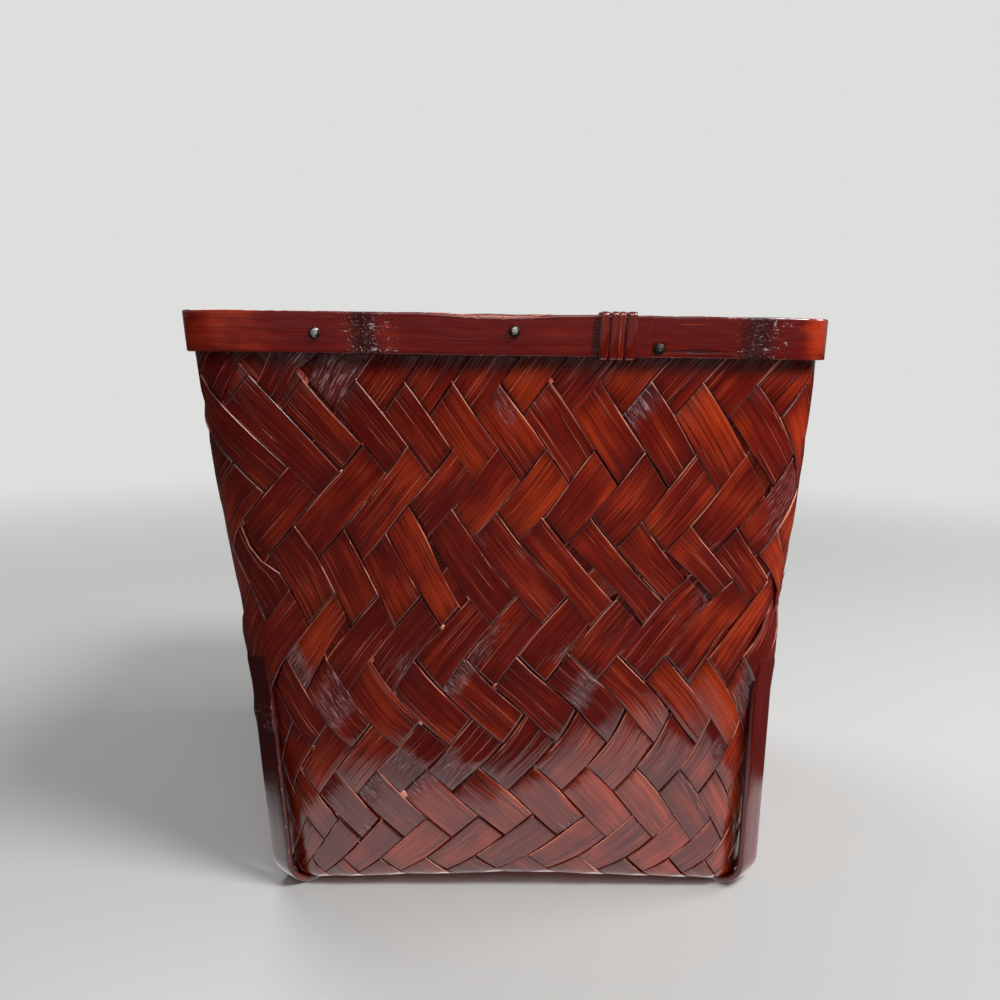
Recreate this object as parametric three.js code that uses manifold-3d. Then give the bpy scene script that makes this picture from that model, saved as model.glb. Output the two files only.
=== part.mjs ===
// A square, flared basket woven from wide bamboo splints. Two bent bamboo hoops are nailed
// through the top of the weave, flat cane is lashed over the outer hoop's lap, and two bent
// bamboo runners cross under the base and climb the corners as feet.
// Millimetres, +Z up, front towards -Y. The origin is on the standing surface, under the
// middle of the rim.

import * as THREE from 'three';
import Module from 'manifold-3d';

// Woven body
const height = 258.5;
const topHalf = 129;
const baseHalf = 109;
const wallBulge = 2.6;
const topCorner = 13;
const baseCorner = 22;
const cornerSwell = 10;
const baseShift = 8.6;
const weaveThickness = 2.4;
const baseEdgeRadius = 5;
const weaveBelowHoops = 1.2;

// Clearance that seated pieces keep
const seatGap = 0.3;

// Hoops
const hoopHeight = 16.5;
const outerHoopThickness = 3;
const innerHoopThickness = 2.6;
const innerHoopHeight = 15.3;
const hoopChamfer = 0.7;
const scarfTip = 0.9;
const scarfRise = 3;
const outerLapStart = 31;
const outerLapLength = 26;
const innerLapStart = 520;
const innerLapLength = 34;
const culmNodeSpacing = 170;
const firstCulmNode = 102;
const culmNodeCount = 6;
const culmNodeRise = 0.7;
const culmNodeWidth = 4.5;
const rimDipPlace = -4;
const rimDipLength = 62;
const rimDipDepth = 1.3;

// Lashing
const strandWidth = 3.3;
const strandThickness = 1;
const strandPitch = 3.95;
const strandLoops = 4;
const lashingPlace = 44;
const strandTurnRadius = 1.3;
const slotMargin = 0.5;

// Rim nails
const nailHeadRadius = 2.35;
const nailHeadHeight = 1.5;
const nailRimShare = 0.25;
const nailShankRadius = 0.75;
const nailLength = 8;
const nailSets = [
  { side: 0, name: 'front', places: [-76.5, 2.5, 60], drops: [8.6, 7, 13] },
  { side: 1, name: 'right', places: [-76, -2, 75], drops: [8.4, 9, 8] },
  { side: 2, name: 'back', places: [-74, 2, 77], drops: [8, 9.2, 8.6] },
  { side: 3, name: 'left', places: [-77, 0, 73], drops: [9, 8.2, 8.8] },
];

// Base runners
const runnerWidth = 14;
const runnerThickness = 2.8;
const runnerBendRadius = 14;
const runnerChamfer = 0.6;
const runnerFollowHeight = 96;
const runnerStandOff = 4;
const runnerTaperLength = 10;
const runnerTipThickness = 1.1;
const runnerTipWidth = 10.5;
const runnerNodeRise = 0.8;
const runnerCrossFlat = 9;
const runnerCrossRamp = 52;
const frontLeftNodeHeight = 84;

// How far each runner's tip is tucked under the splints above runnerFollowHeight
const frontRightTuck = 8;
const backLeftTuck = 22;
const frontLeftTuck = 34;
const backRightTuck = 16;

// Values that follow from the sizes above
const cornerClear = runnerThickness + seatGap;
const centreClear = 2 * cornerClear;
const hoopBottom = height - hoopHeight;
const weaveTop = height - weaveBelowHoops;
const outerHoopFace = seatGap + outerHoopThickness;
const innerHoopOutside = -weaveThickness - seatGap;
const innerHoopFace = innerHoopOutside - innerHoopThickness;

const wasm = await Module();
wasm.setup();

const lacquer = new THREE.MeshStandardMaterial({ color: 0x7a2418, roughness: 0.32, metalness: 0 });
const darkLacquer = new THREE.MeshStandardMaterial({ color: 0x5f1a16, roughness: 0.28, metalness: 0 });
const cane = new THREE.MeshStandardMaterial({ color: 0x6e241c, roughness: 0.4, metalness: 0 });
const iron = new THREE.MeshStandardMaterial({ color: 0x8e8a84, roughness: 0.45, metalness: 0.9 });

// The rounded square that the weave's outside follows at a height. The walls belly out
// above the middle, and the corners are tightest at the hoops.
function formAt(z) {
  const rise = THREE.MathUtils.clamp(z / height, 0, 1);
  return {
    half: THREE.MathUtils.lerp(baseHalf, topHalf, rise) + wallBulge * Math.sin(Math.PI * rise ** 2),
    corner: THREE.MathUtils.lerp(baseCorner, topCorner, rise) + cornerSwell * Math.sin(Math.PI * rise),
    shift: baseShift * (1 - rise),
  };
}

// A place names a spot round the square: side 0 is the front, 1 the right, 2 the back and 3
// the left. along runs from -1 to 1 over the flat, turn from 0 to 1 round the corner after it.
function outlinePoint(place, z, offset) {
  const { half, corner, shift } = formAt(z);
  const flat = half - corner;
  const facing = (place.side - 1) * Math.PI / 2;
  const heading = facing + place.turn * Math.PI / 2;
  const reach = corner + offset;
  return new THREE.Vector3(
    shift + flat * Math.cos(facing) - place.along * flat * Math.sin(facing) + reach * Math.cos(heading),
    flat * Math.sin(facing) + place.along * flat * Math.cos(facing) + reach * Math.sin(heading),
    z,
  );
}

function ringPlaces(flatSteps, cornerSteps) {
  const places = [];
  for (let side = 0; side < 4; side += 1) {
    for (let i = 0; i < flatSteps; i += 1) {
      places.push({ side, along: -1 + 2 * i / flatSteps, turn: 0 });
    }
    for (let i = 0; i < cornerSteps; i += 1) {
      places.push({ side, along: 1, turn: i / cornerSteps });
    }
  }
  return places;
}

// The rim's own length, measured round the weave at half the hoops' height
const rimForm = formAt(height - hoopHeight / 2);
const rimFlat = 2 * (rimForm.half - rimForm.corner);
const rimArc = rimForm.corner * Math.PI / 2;
const rimLength = 4 * (rimFlat + rimArc);

// The place a distance round the rim, counted from the middle of the front to the right
function rimPlace(distance) {
  const walked = THREE.MathUtils.euclideanModulo(distance + rimFlat / 2, rimLength);
  const side = Math.min(3, Math.floor(walked / (rimFlat + rimArc)));
  const rest = walked - side * (rimFlat + rimArc);
  if (rest < rimFlat) {
    return { side, along: 2 * rest / rimFlat - 1, turn: 0 };
  }
  return { side, along: 1, turn: (rest - rimFlat) / rimArc };
}

// Joins rings of points into one closed skin. Each end closes on a point, where one is
// given, or with a fan over its ring.
function skin(rings, { start = null, end = null } = {}) {
  const count = rings[0].length;
  const points = rings.flat();
  const triangles = [];
  for (let r = 0; r < rings.length - 1; r += 1) {
    for (let i = 0; i < count; i += 1) {
      const j = (i + 1) % count;
      const a = r * count + i;
      const b = r * count + j;
      const c = (r + 1) * count + j;
      const d = (r + 1) * count + i;
      triangles.push(a, b, c, a, c, d);
    }
  }
  const closeEnd = (ringIndex, pole, flip) => {
    const first = ringIndex * count;
    const hub = pole ? points.push(pole) - 1 : first;
    for (let i = pole ? 0 : 1; i < (pole ? count : count - 1); i += 1) {
      const a = first + i;
      const b = first + (i + 1) % count;
      triangles.push(...(flip ? [hub, b, a] : [hub, a, b]));
    }
  };
  closeEnd(0, start, true);
  closeEnd(rings.length - 1, end, false);
  return solidFrom(points, triangles);
}

// Makes a geometry whose faces point out
function solidFrom(points, triangles) {
  let volume = 0;
  for (let i = 0; i < triangles.length; i += 3) {
    const [a, b, c] = [points[triangles[i]], points[triangles[i + 1]], points[triangles[i + 2]]];
    volume += a.dot(new THREE.Vector3().crossVectors(b, c));
  }
  if (volume < 0) {
    triangles.reverse();
  }
  const geometry = new THREE.BufferGeometry();
  geometry.setAttribute('position', new THREE.Float32BufferAttribute(points.flatMap((p) => p.toArray()), 3));
  geometry.setIndex(triangles);
  return geometry;
}

function toManifold(geometry) {
  return new wasm.Manifold(new wasm.Mesh({
    numProp: 3,
    vertProperties: Float32Array.from(geometry.getAttribute('position').array),
    triVerts: Uint32Array.from(geometry.getIndex().array),
  }));
}

function subtract(geometry, cutters) {
  let solid = toManifold(geometry);
  for (const cutter of cutters) {
    solid = solid.subtract(toManifold(cutter));
  }
  const mesh = solid.getMesh();
  const result = new THREE.BufferGeometry();
  result.setAttribute('position', new THREE.BufferAttribute(Float32Array.from(mesh.vertProperties), 3));
  result.setIndex(Array.from(mesh.triVerts));
  return result;
}

// The woven base arches up from its corners, which sit on the runners, to clear the place
// where the runners cross.
function cornerReach(z) {
  const { half, corner } = formAt(z);
  return Math.SQRT2 * (half - corner) + corner;
}

const baseCornerReach = cornerReach(0) - baseEdgeRadius;

function baseLevel(x, y) {
  const cornerShare = 2 * Math.abs((x - baseShift) * y) / baseCornerReach ** 2;
  return centreClear - (centreClear - cornerClear) * Math.min(1, cornerShare);
}

const bodyPlaces = ringPlaces(6, 8);
const baseShares = [0.25, 0.5, 0.75];
const edgeSteps = 4;
const wallRows = 9;

// One skin of the woven shell, from the middle of the base to the top edge. inset is 0
// outside and the weave's thickness inside.
function shellRings(inset) {
  const bend = baseEdgeRadius - inset;
  const foot = (place) => outlinePoint(place, 0, -baseEdgeRadius);
  const level = (place) => {
    const point = foot(place);
    return baseLevel(point.x, point.y) + inset;
  };
  const rings = baseShares.map((share) => bodyPlaces.map((place) => {
    const point = foot(place);
    const x = THREE.MathUtils.lerp(baseShift, point.x, share);
    const y = point.y * share;
    return new THREE.Vector3(x, y, baseLevel(x, y) + inset);
  }));
  for (let i = 0; i <= edgeSteps; i += 1) {
    const angle = i / edgeSteps * Math.PI / 2;
    rings.push(bodyPlaces.map((place) => outlinePoint(
      place,
      level(place) + bend * (1 - Math.cos(angle)),
      bend * Math.sin(angle) - baseEdgeRadius,
    )));
  }
  for (let i = 1; i <= wallRows; i += 1) {
    rings.push(bodyPlaces.map((place) => outlinePoint(
      place,
      THREE.MathUtils.lerp(level(place) + bend, weaveTop, i / wallRows),
      -inset,
    )));
  }
  return rings;
}

// Nails: where each stands on the rim, and how its axis leans with the wall
const wallLean = Math.atan2(formAt(height).half - formAt(hoopBottom).half, hoopHeight);

function nailPlacing(set, index) {
  const z = height - set.drops[index];
  const { half, corner } = formAt(z);
  const place = { side: set.side, along: set.places[index] / (half - corner), turn: 0 };
  const facing = (set.side - 1) * Math.PI / 2;
  const axis = new THREE.Vector3(
    Math.cos(facing) * Math.cos(wallLean),
    Math.sin(facing) * Math.cos(wallLean),
    -Math.sin(wallLean),
  );
  return {
    seat: outlinePoint(place, z, 0).addScaledVector(axis, outerHoopFace + seatGap),
    turn: new THREE.Quaternion().setFromUnitVectors(new THREE.Vector3(0, 1, 0), axis),
  };
}

function nailHoles() {
  const holes = [];
  for (const set of nailSets) {
    set.places.forEach((_, index) => {
      const { seat, turn } = nailPlacing(set, index);
      const bore = new THREE.CylinderGeometry(
        nailShankRadius + seatGap,
        nailShankRadius + seatGap,
        4 * nailLength,
        8,
      );
      holes.push(closed(bore).applyQuaternion(turn).translate(seat.x, seat.y, seat.z));
    });
  }
  return holes;
}

// Merges a library geometry's doubled vertices, so that it is one closed skin
function closed(geometry) {
  const source = geometry.getAttribute('position');
  const index = geometry.getIndex();
  const keys = new Map();
  const points = [];
  const triangles = [];
  for (let i = 0; i < index.count; i += 3) {
    const corners = [0, 1, 2].map((k) => {
      const point = new THREE.Vector3().fromBufferAttribute(source, index.getX(i + k));
      const key = point.toArray().map((value) => Math.round(value * 1e4)).join(',');
      if (!keys.has(key)) {
        keys.set(key, points.push(point) - 1);
      }
      return keys.get(key);
    });
    if (new Set(corners).size === 3) {
      triangles.push(...corners);
    }
  }
  return solidFrom(points, triangles);
}

// A swelling of the bamboo at each culm node round the outer hoop
function culmSwelling(distance) {
  let rise = 0;
  for (let i = 0; i < culmNodeCount; i += 1) {
    const node = firstCulmNode + i * culmNodeSpacing;
    for (const turnBack of [0, rimLength]) {
      rise += culmNodeRise * Math.exp(-(((distance - node + turnBack) / culmNodeWidth) ** 2));
    }
  }
  return rise;
}

// How far the worn top edge dips at the middle of the front
function rimDip(distance) {
  const nearest = distance > rimLength / 2 ? distance - rimLength : distance;
  const share = Math.abs(nearest - rimDipPlace) / (rimDipLength / 2);
  return share < 1 ? rimDipDepth * Math.cos(share * Math.PI / 2) ** 2 : 0;
}

// A hoop is one strip, bent round the rim with scarfed ends that lie over each other. The
// under end thins towards its tip, and the over end climbs it and thins in the same way.
function hoopFaces(distance, hoop) {
  const { lapStart, lapLength, thickness } = hoop;
  const intoStart = (distance - lapStart) / lapLength;
  const intoEnd = (distance - lapStart - rimLength) / lapLength;
  let low = 0;
  let high = thickness;
  if (intoStart < 1) {
    high = THREE.MathUtils.lerp(scarfTip, thickness, intoStart);
  }
  if (intoEnd > -scarfRise / lapLength) {
    const climb = THREE.MathUtils.clamp(1 + intoEnd * lapLength / scarfRise, 0, 1);
    const under = THREE.MathUtils.lerp(scarfTip, thickness, Math.max(0, intoEnd)) + seatGap;
    low = climb * under;
    high = THREE.MathUtils.lerp(thickness, thickness + seatGap + scarfTip, Math.max(0, intoEnd));
  }
  return { low, high };
}

const outerHoop = {
  lapStart: outerLapStart,
  lapLength: outerLapLength,
  thickness: outerHoopThickness,
  bottom: () => hoopBottom,
  top: (distance) => height - rimDip(distance),
  swelling: culmSwelling,
  offset: (depth) => seatGap + depth,
};

const innerHoop = {
  lapStart: innerLapStart,
  lapLength: innerLapLength,
  thickness: innerHoopThickness,
  bottom: () => hoopBottom + hoopHeight - innerHoopHeight,
  top: () => height,
  swelling: () => 0,
  offset: (depth) => innerHoopOutside - depth,
};

function hoopDistances(hoop) {
  const distances = [];
  const end = hoop.lapStart + rimLength + hoop.lapLength;
  const sideLength = rimFlat + rimArc;
  const flatStep = rimFlat / 8;
  const arcStep = rimArc / 6;
  const firstSide = Math.floor(hoop.lapStart / sideLength);
  for (let side = firstSide; side * sideLength < end + sideLength; side += 1) {
    const middle = side * sideLength;
    for (let i = 0; i < 8; i += 1) {
      distances.push(middle - rimFlat / 2 + i * flatStep);
    }
    for (let i = 0; i < 6; i += 1) {
      distances.push(middle + rimFlat / 2 + i * arcStep);
    }
  }
  const landmarks = [
    hoop.lapStart,
    hoop.lapStart + hoop.lapLength,
    hoop.lapStart + rimLength - scarfRise,
    hoop.lapStart + rimLength,
    end,
  ];
  if (hoop.swelling(firstCulmNode) > 0) {
    for (let i = 0; i < culmNodeCount; i += 1) {
      for (const step of [-2, -1, 0, 1, 2]) {
        landmarks.push(firstCulmNode + i * culmNodeSpacing + step * culmNodeWidth * 0.8);
      }
    }
  }
  const kept = distances.filter((value) => landmarks.every((mark) => Math.abs(mark - value) > 2.5));
  return [...kept, ...landmarks]
    .filter((value) => value >= hoop.lapStart && value <= end)
    .sort((a, b) => a - b);
}

function hoopGeometry(hoop) {
  const rings = hoopDistances(hoop).map((distance) => {
    const place = rimPlace(distance);
    const { low, high } = hoopFaces(distance, hoop);
    const bottom = hoop.bottom(distance);
    const top = hoop.top(distance);
    const crest = high + hoop.swelling(distance);
    const edge = Math.min(hoopChamfer, (high - low) / 2);
    const section = [
      [low, bottom],
      [crest - edge, bottom],
      [crest, bottom + edge],
      [crest, top - edge],
      [crest - edge, top],
      [low, top],
    ];
    return section.map(([depth, z]) => outlinePoint(place, z, hoop.offset(depth)));
  });
  return skin(rings);
}

// The cane strand passes out through the weave under the hoops, up the front, over the top
// and down inside, where it steps on by one pitch.
function strandPath() {
  const half = strandThickness / 2;
  const outwards = (x) => {
    const { high } = hoopFaces(x + rimLength, outerHoop);
    return seatGap + high + culmSwelling(x) + seatGap + half;
  };
  const inwards = innerHoopFace - seatGap - half;
  const low = hoopBottom - seatGap - half;
  const top = height + seatGap + half;
  const first = lashingPlace - strandPitch * (strandLoops - 1) / 2;
  const stations = [];
  const addArc = (x, n, z, startAngle, steps) => {
    for (let i = 0; i <= steps; i += 1) {
      const angle = startAngle + i / steps * Math.PI / 2;
      stations.push({
        x,
        n: n + strandTurnRadius * Math.cos(angle),
        z: z + strandTurnRadius * Math.sin(angle),
        angle,
      });
    }
  };
  for (let loop = 0; loop < strandLoops; loop += 1) {
    const x = first + loop * strandPitch;
    const out = outwards(x);
    const r = strandTurnRadius;
    if (loop === 0) {
      stations.push({ x, n: inwards, z: low, angle: -Math.PI / 2 });
    }
    addArc(x, out - r, low + r, -Math.PI / 2, 3);
    addArc(x, out - r, top - r, 0, 3);
    addArc(x, inwards + r, top - r, Math.PI / 2, 3);
    const down = loop === strandLoops - 1 ? low + strandThickness * 2 : low + r;
    const drops = 3;
    for (let i = 1; i < drops; i += 1) {
      const share = i / drops;
      const slide = loop === strandLoops - 1 ? 0 : strandPitch * share;
      const z = THREE.MathUtils.lerp(top - r, down, share);
      stations.push({ x: x + slide, n: inwards, z, angle: Math.PI });
    }
    if (loop === strandLoops - 1) {
      stations.push({ x, n: inwards, z: down, angle: Math.PI });
    } else {
      addArc(x + strandPitch, inwards + r, low + r, Math.PI, 3);
    }
  }
  return stations;
}

function strandPoint(station, across, outwards) {
  const n = station.n + outwards * Math.cos(station.angle);
  const z = station.z + outwards * Math.sin(station.angle);
  const place = rimPlace(station.x);
  const point = outlinePoint(place, z, n);
  point.x += across;
  return point;
}

function lashingGeometry() {
  const half = strandThickness / 2;
  const edge = half * 0.6;
  const side = strandWidth / 2;
  const section = [
    [-side, -edge],
    [-side + edge, -half],
    [side - edge, -half],
    [side, -edge],
    [side, edge],
    [side - edge, half],
    [-side + edge, half],
    [-side, edge],
  ];
  const stations = strandPath();
  console.log(`Lashing: least gap between its loops ${leastStrandGap(stations).toFixed(2)} mm`);
  return skin(stations.map((station) => section.map(([x, n]) => strandPoint(station, x, n))));
}

// The least distance between the edges of neighbouring loops, measured on points
function leastStrandGap(stations) {
  const perLoop = stations.length / strandLoops;
  let least = Infinity;
  stations.forEach((a, i) => {
    stations.forEach((b, j) => {
      if (j - i > perLoop / 2) {
        for (const [acrossA, acrossB] of [[strandWidth / 2, -strandWidth / 2], [0, 0]]) {
          const gap = strandPoint(a, acrossA, 0).distanceTo(strandPoint(b, acrossB, 0));
          least = Math.min(least, gap);
        }
      }
    });
  });
  return least;
}

// The slot in the weave that the strand passes through
function lashingSlot() {
  const length = strandPitch * (strandLoops - 1) + strandWidth + 2 * slotMargin;
  const tall = strandThickness + 2 * slotMargin;
  const middle = hoopBottom - seatGap - strandThickness / 2;
  const wall = outlinePoint(rimPlace(lashingPlace), middle, -weaveThickness / 2);
  const slot = new THREE.BoxGeometry(length, 4 * weaveThickness, tall);
  return closed(slot).translate(wall.x, wall.y, middle);
}

function nailGeometry() {
  const dome = [0, 0.25, 0.5, 0.75, 1].map((share) => {
    const angle = share * Math.PI / 2;
    const rise = nailHeadHeight * THREE.MathUtils.lerp(nailRimShare, 1, Math.sin(angle));
    return new THREE.Vector2(nailHeadRadius * Math.cos(angle), rise);
  });
  const profile = [
    new THREE.Vector2(0, -nailLength),
    new THREE.Vector2(nailShankRadius, -nailLength + 2 * nailShankRadius),
    new THREE.Vector2(nailShankRadius, 0),
    new THREE.Vector2(nailHeadRadius, 0),
    ...dome.slice(0, -1),
    new THREE.Vector2(0, nailHeadHeight),
  ];
  return closed(new THREE.LatheGeometry(profile, 10));
}

// The runners' path in the upright plane through two opposite corners. reach is the distance
// from the base's middle to the inner face, and angle the outward normal's. A leg lies on
// the corner above runnerFollowHeight, and stands off the drawn-in corner below it.
const followReach = cornerReach(runnerFollowHeight);
const legSlope = (followReach - cornerReach(0) - runnerStandOff) / runnerFollowHeight;

function legReach(z) {
  if (z > runnerFollowHeight) {
    return cornerReach(z) + seatGap;
  }
  return followReach + seatGap - legSlope * (runnerFollowHeight - z);
}

function runnerLeg(leg) {
  const bend = runnerBendRadius - runnerThickness;
  const tilt = Math.atan(legSlope);
  const legFoot = runnerBendRadius - bend * Math.sin(tilt);
  const stations = legHeights(leg, legFoot).map((z) => legStation(leg, z, tilt));
  const centre = legReach(legFoot) - bend * Math.cos(tilt);
  const bendSteps = 6;
  for (let i = 1; i <= bendSteps; i += 1) {
    const angle = THREE.MathUtils.lerp(tilt, Math.PI / 2, i / bendSteps);
    stations.push({
      reach: centre + bend * Math.cos(angle),
      z: runnerBendRadius - bend * Math.sin(angle),
      angle,
      thickness: runnerThickness,
      width: runnerWidth,
    });
  }
  return stations;
}

// Heights down a leg: its tip, even steps, and close steps over its culm node
function legHeights(leg, foot) {
  const rows = 8;
  const nodeSteps = [-1.6, -0.8, 0, 0.8, 1.6].map((step) => leg.node + step * culmNodeWidth);
  const landmarks = leg.node ? [leg.top, ...nodeSteps] : [leg.top];
  const even = [];
  for (let i = 0; i <= rows; i += 1) {
    even.push(THREE.MathUtils.lerp(leg.top - runnerTaperLength, foot, i / rows));
  }
  const kept = even.filter((z) => z === foot || landmarks.every((mark) => Math.abs(mark - z) > 3));
  return [...kept, ...landmarks].sort((a, b) => b - a);
}

function legStation(leg, z, tilt) {
  const intoTip = THREE.MathUtils.clamp((z - leg.top + runnerTaperLength) / runnerTaperLength, 0, 1);
  const swelling = leg.node ? runnerNodeRise * Math.exp(-(((z - leg.node) / culmNodeWidth) ** 2)) : 0;
  return {
    reach: legReach(z),
    z,
    angle: tilt,
    thickness: THREE.MathUtils.lerp(runnerThickness, runnerTipThickness, intoTip) + swelling,
    width: THREE.MathUtils.lerp(runnerWidth, runnerTipWidth, intoTip),
  };
}

// The lower runner lies flat. The upper one arches over it at the crossing.
function runnerLift(reach, crossesOver) {
  if (!crossesOver) {
    return 0;
  }
  const away = THREE.MathUtils.clamp((Math.abs(reach) - runnerCrossFlat) / runnerCrossRamp, 0, 1);
  return cornerClear * (1 + Math.cos(Math.PI * away)) / 2;
}

function runnerGeometry(runner) {
  const [first, second] = runner.legs;
  const firstLeg = runnerLeg(first);
  const mirrored = (s) => ({ ...s, reach: -s.reach, angle: Math.PI - s.angle });
  const secondLeg = runnerLeg(second).reverse().map(mirrored);
  const from = firstLeg[firstLeg.length - 1].reach;
  const to = secondLeg[0].reach;
  const base = [];
  const marks = [runnerCrossFlat + runnerCrossRamp];
  for (let i = 3; i >= 0; i -= 1) {
    marks.push(runnerCrossFlat + runnerCrossRamp * i / 4);
  }
  const reaches = [...marks, 0, ...marks.map((mark) => -mark).reverse()];
  for (const reach of reaches.filter((value) => value < from - 1 && value > to + 1)) {
    base.push({
      reach,
      z: runnerThickness + runnerLift(reach, runner.crossesOver),
      angle: Math.PI / 2,
      thickness: runnerThickness,
      width: runnerWidth,
    });
  }
  const along = new THREE.Vector3(first.x, first.y, 0).normalize();
  const across = new THREE.Vector3(-along.y, along.x, 0);
  const rings = [...firstLeg, ...base, ...secondLeg].map((s) => {
    const outwards = along.clone().multiplyScalar(Math.cos(s.angle));
    outwards.z = -Math.sin(s.angle);
    const middle = along.clone().multiplyScalar(s.reach);
    middle.x += formAt(s.z).shift;
    middle.z = s.z;
    const side = s.width / 2;
    const section = [
      [-side, 0],
      [side, 0],
      [side, s.thickness - runnerChamfer],
      [side - runnerChamfer, s.thickness],
      [runnerChamfer - side, s.thickness],
      [-side, s.thickness - runnerChamfer],
    ];
    return section.map(([x, n]) => middle.clone().addScaledVector(across, x).addScaledVector(outwards, n));
  });
  return skin(rings);
}

const runners = [
  {
    name: 'lower_base_runner',
    crossesOver: false,
    legs: [
      { x: 1, y: -1, top: runnerFollowHeight + frontRightTuck },
      { x: -1, y: 1, top: runnerFollowHeight + backLeftTuck },
    ],
  },
  {
    name: 'upper_base_runner',
    crossesOver: true,
    legs: [
      { x: -1, y: -1, top: runnerFollowHeight + frontLeftTuck, node: frontLeftNodeHeight },
      { x: 1, y: 1, top: runnerFollowHeight + backRightTuck },
    ],
  },
];

const basket = new THREE.Group();
basket.name = 'bamboo_basket';

function addPiece(name, geometry, material) {
  geometry.computeVertexNormals();
  const piece = new THREE.Mesh(geometry, material);
  piece.name = name;
  basket.add(piece);
  return piece;
}

const holes = nailHoles();
const baseMiddle = (inset) => new THREE.Vector3(baseShift, 0, centreClear + inset);
const shell = skin(
  [...shellRings(0), ...shellRings(weaveThickness).reverse()],
  { start: baseMiddle(0), end: baseMiddle(weaveThickness) },
);

addPiece('woven_body', subtract(shell, [...holes, lashingSlot()]), lacquer);
addPiece('outer_rim_hoop', subtract(hoopGeometry(outerHoop), holes), darkLacquer);
addPiece('inner_rim_hoop', subtract(hoopGeometry(innerHoop), holes), darkLacquer);
addPiece('rim_lashing', lashingGeometry(), cane);

for (const set of nailSets) {
  set.places.forEach((_, index) => {
    const { seat, turn } = nailPlacing(set, index);
    const nail = addPiece(`rim_nail_${set.name}_${index + 1}`, nailGeometry(), iron);
    nail.position.copy(seat);
    nail.quaternion.copy(turn);
  });
}

for (const runner of runners) {
  addPiece(runner.name, runnerGeometry(runner), darkLacquer);
}

export default basket;
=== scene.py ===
import math

import bpy
import numpy as np
from bpy.props import FloatProperty, FloatVectorProperty, IntProperty, PointerProperty
from mathutils import Matrix, Vector


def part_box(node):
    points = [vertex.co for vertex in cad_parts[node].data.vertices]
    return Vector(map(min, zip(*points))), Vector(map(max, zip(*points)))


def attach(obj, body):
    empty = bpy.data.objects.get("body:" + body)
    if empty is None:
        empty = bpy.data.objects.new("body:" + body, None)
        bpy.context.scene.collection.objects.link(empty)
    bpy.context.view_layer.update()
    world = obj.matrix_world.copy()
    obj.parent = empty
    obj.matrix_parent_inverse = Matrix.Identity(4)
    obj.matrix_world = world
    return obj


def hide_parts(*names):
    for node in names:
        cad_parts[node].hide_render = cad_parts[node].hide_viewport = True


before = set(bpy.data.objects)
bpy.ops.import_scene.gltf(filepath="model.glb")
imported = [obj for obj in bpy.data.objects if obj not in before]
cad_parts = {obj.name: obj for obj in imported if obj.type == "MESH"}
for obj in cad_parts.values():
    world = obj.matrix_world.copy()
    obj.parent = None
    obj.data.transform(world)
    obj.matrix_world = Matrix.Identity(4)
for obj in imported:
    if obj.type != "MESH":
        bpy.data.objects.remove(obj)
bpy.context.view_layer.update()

bl_info = {
    "name": "Woven bamboo basket",
    "version": (1, 0, 0),
    "blender": (4, 5, 0),
    "location": "View3D > Sidebar > Basket",
    "description": "Dresses a square lacquered basket: splints, hoops, lashing, nails and runners",
    "category": "Object",
}

HOOP_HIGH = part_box("outer_rim_hoop")[1]
MM = 0.001

# Splints of one direction that cross each side of the basket, and round the whole of it
SIDE_SPLINTS = 12
HALF_SIDE = SIDE_SPLINTS / 2
AROUND = 4 * SIDE_SPLINTS
# A crossing's usual size, which gives the grain its scale
CROSSING = 16.4 * MM

# Where the rows of the herringbone start, up the middle of the front: the row's place in the
# weave, its height in millimetres, and how far the pattern has crept round, in splints
ROWS = (
    (1, 17.0, 0.20),
    (2, 37.4, 0.27),
    (3, 61.3, 0.30),
    (4, 83.7, 0.15),
    (5, 114.4, 0.04),
    (6, 141.7, 0.10),
    (7.5, 178.4, 0.24),
    (8.5, 205.6, 0.31),
    (9.5, 232.8, 0.36),
)
TOP_ROW = 10.42
# Half rows that belong to the one row of long floats, which pass over three splints
LONG_ROW = (12, 13, 14)

# A crossing of the walls is the splint that rises to the right there and the one that falls
# to the right, each counted round the basket from the middle of the front.
# Crossings where the weaver has changed the order
SWAPPED = (
    (-13, 3), (-14, 2), (-12, 2), (-11, 3), (-13, 1), (-14, 0), (-3, 9), (-2, 10), (-1, 11),
    (9, 24), (10, 25), (-22, -10), (22, 32),
)
# Where the lattice is pushed out of line: place round and row, push along and up, reaches
PUSHED = (
    (-4.4, 6.6, 0.30, 0.0, 1.9, 1.7),
    (1.8, 4.1, 0.0, 0.2, 2.8, 0.5),
    (9.0, 7.0, -0.26, 0.05, 2.0, 1.6),
    (14.5, 5.2, 0.24, 0.10, 2.2, 1.5),
    (22.0, 6.1, 0.26, -0.12, 2.0, 1.6),
    (-18.5, 4.8, -0.24, 0.10, 2.0, 1.5),
    (-10.0, 7.2, 0.22, 0.1, 1.9, 1.5),
)
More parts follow.
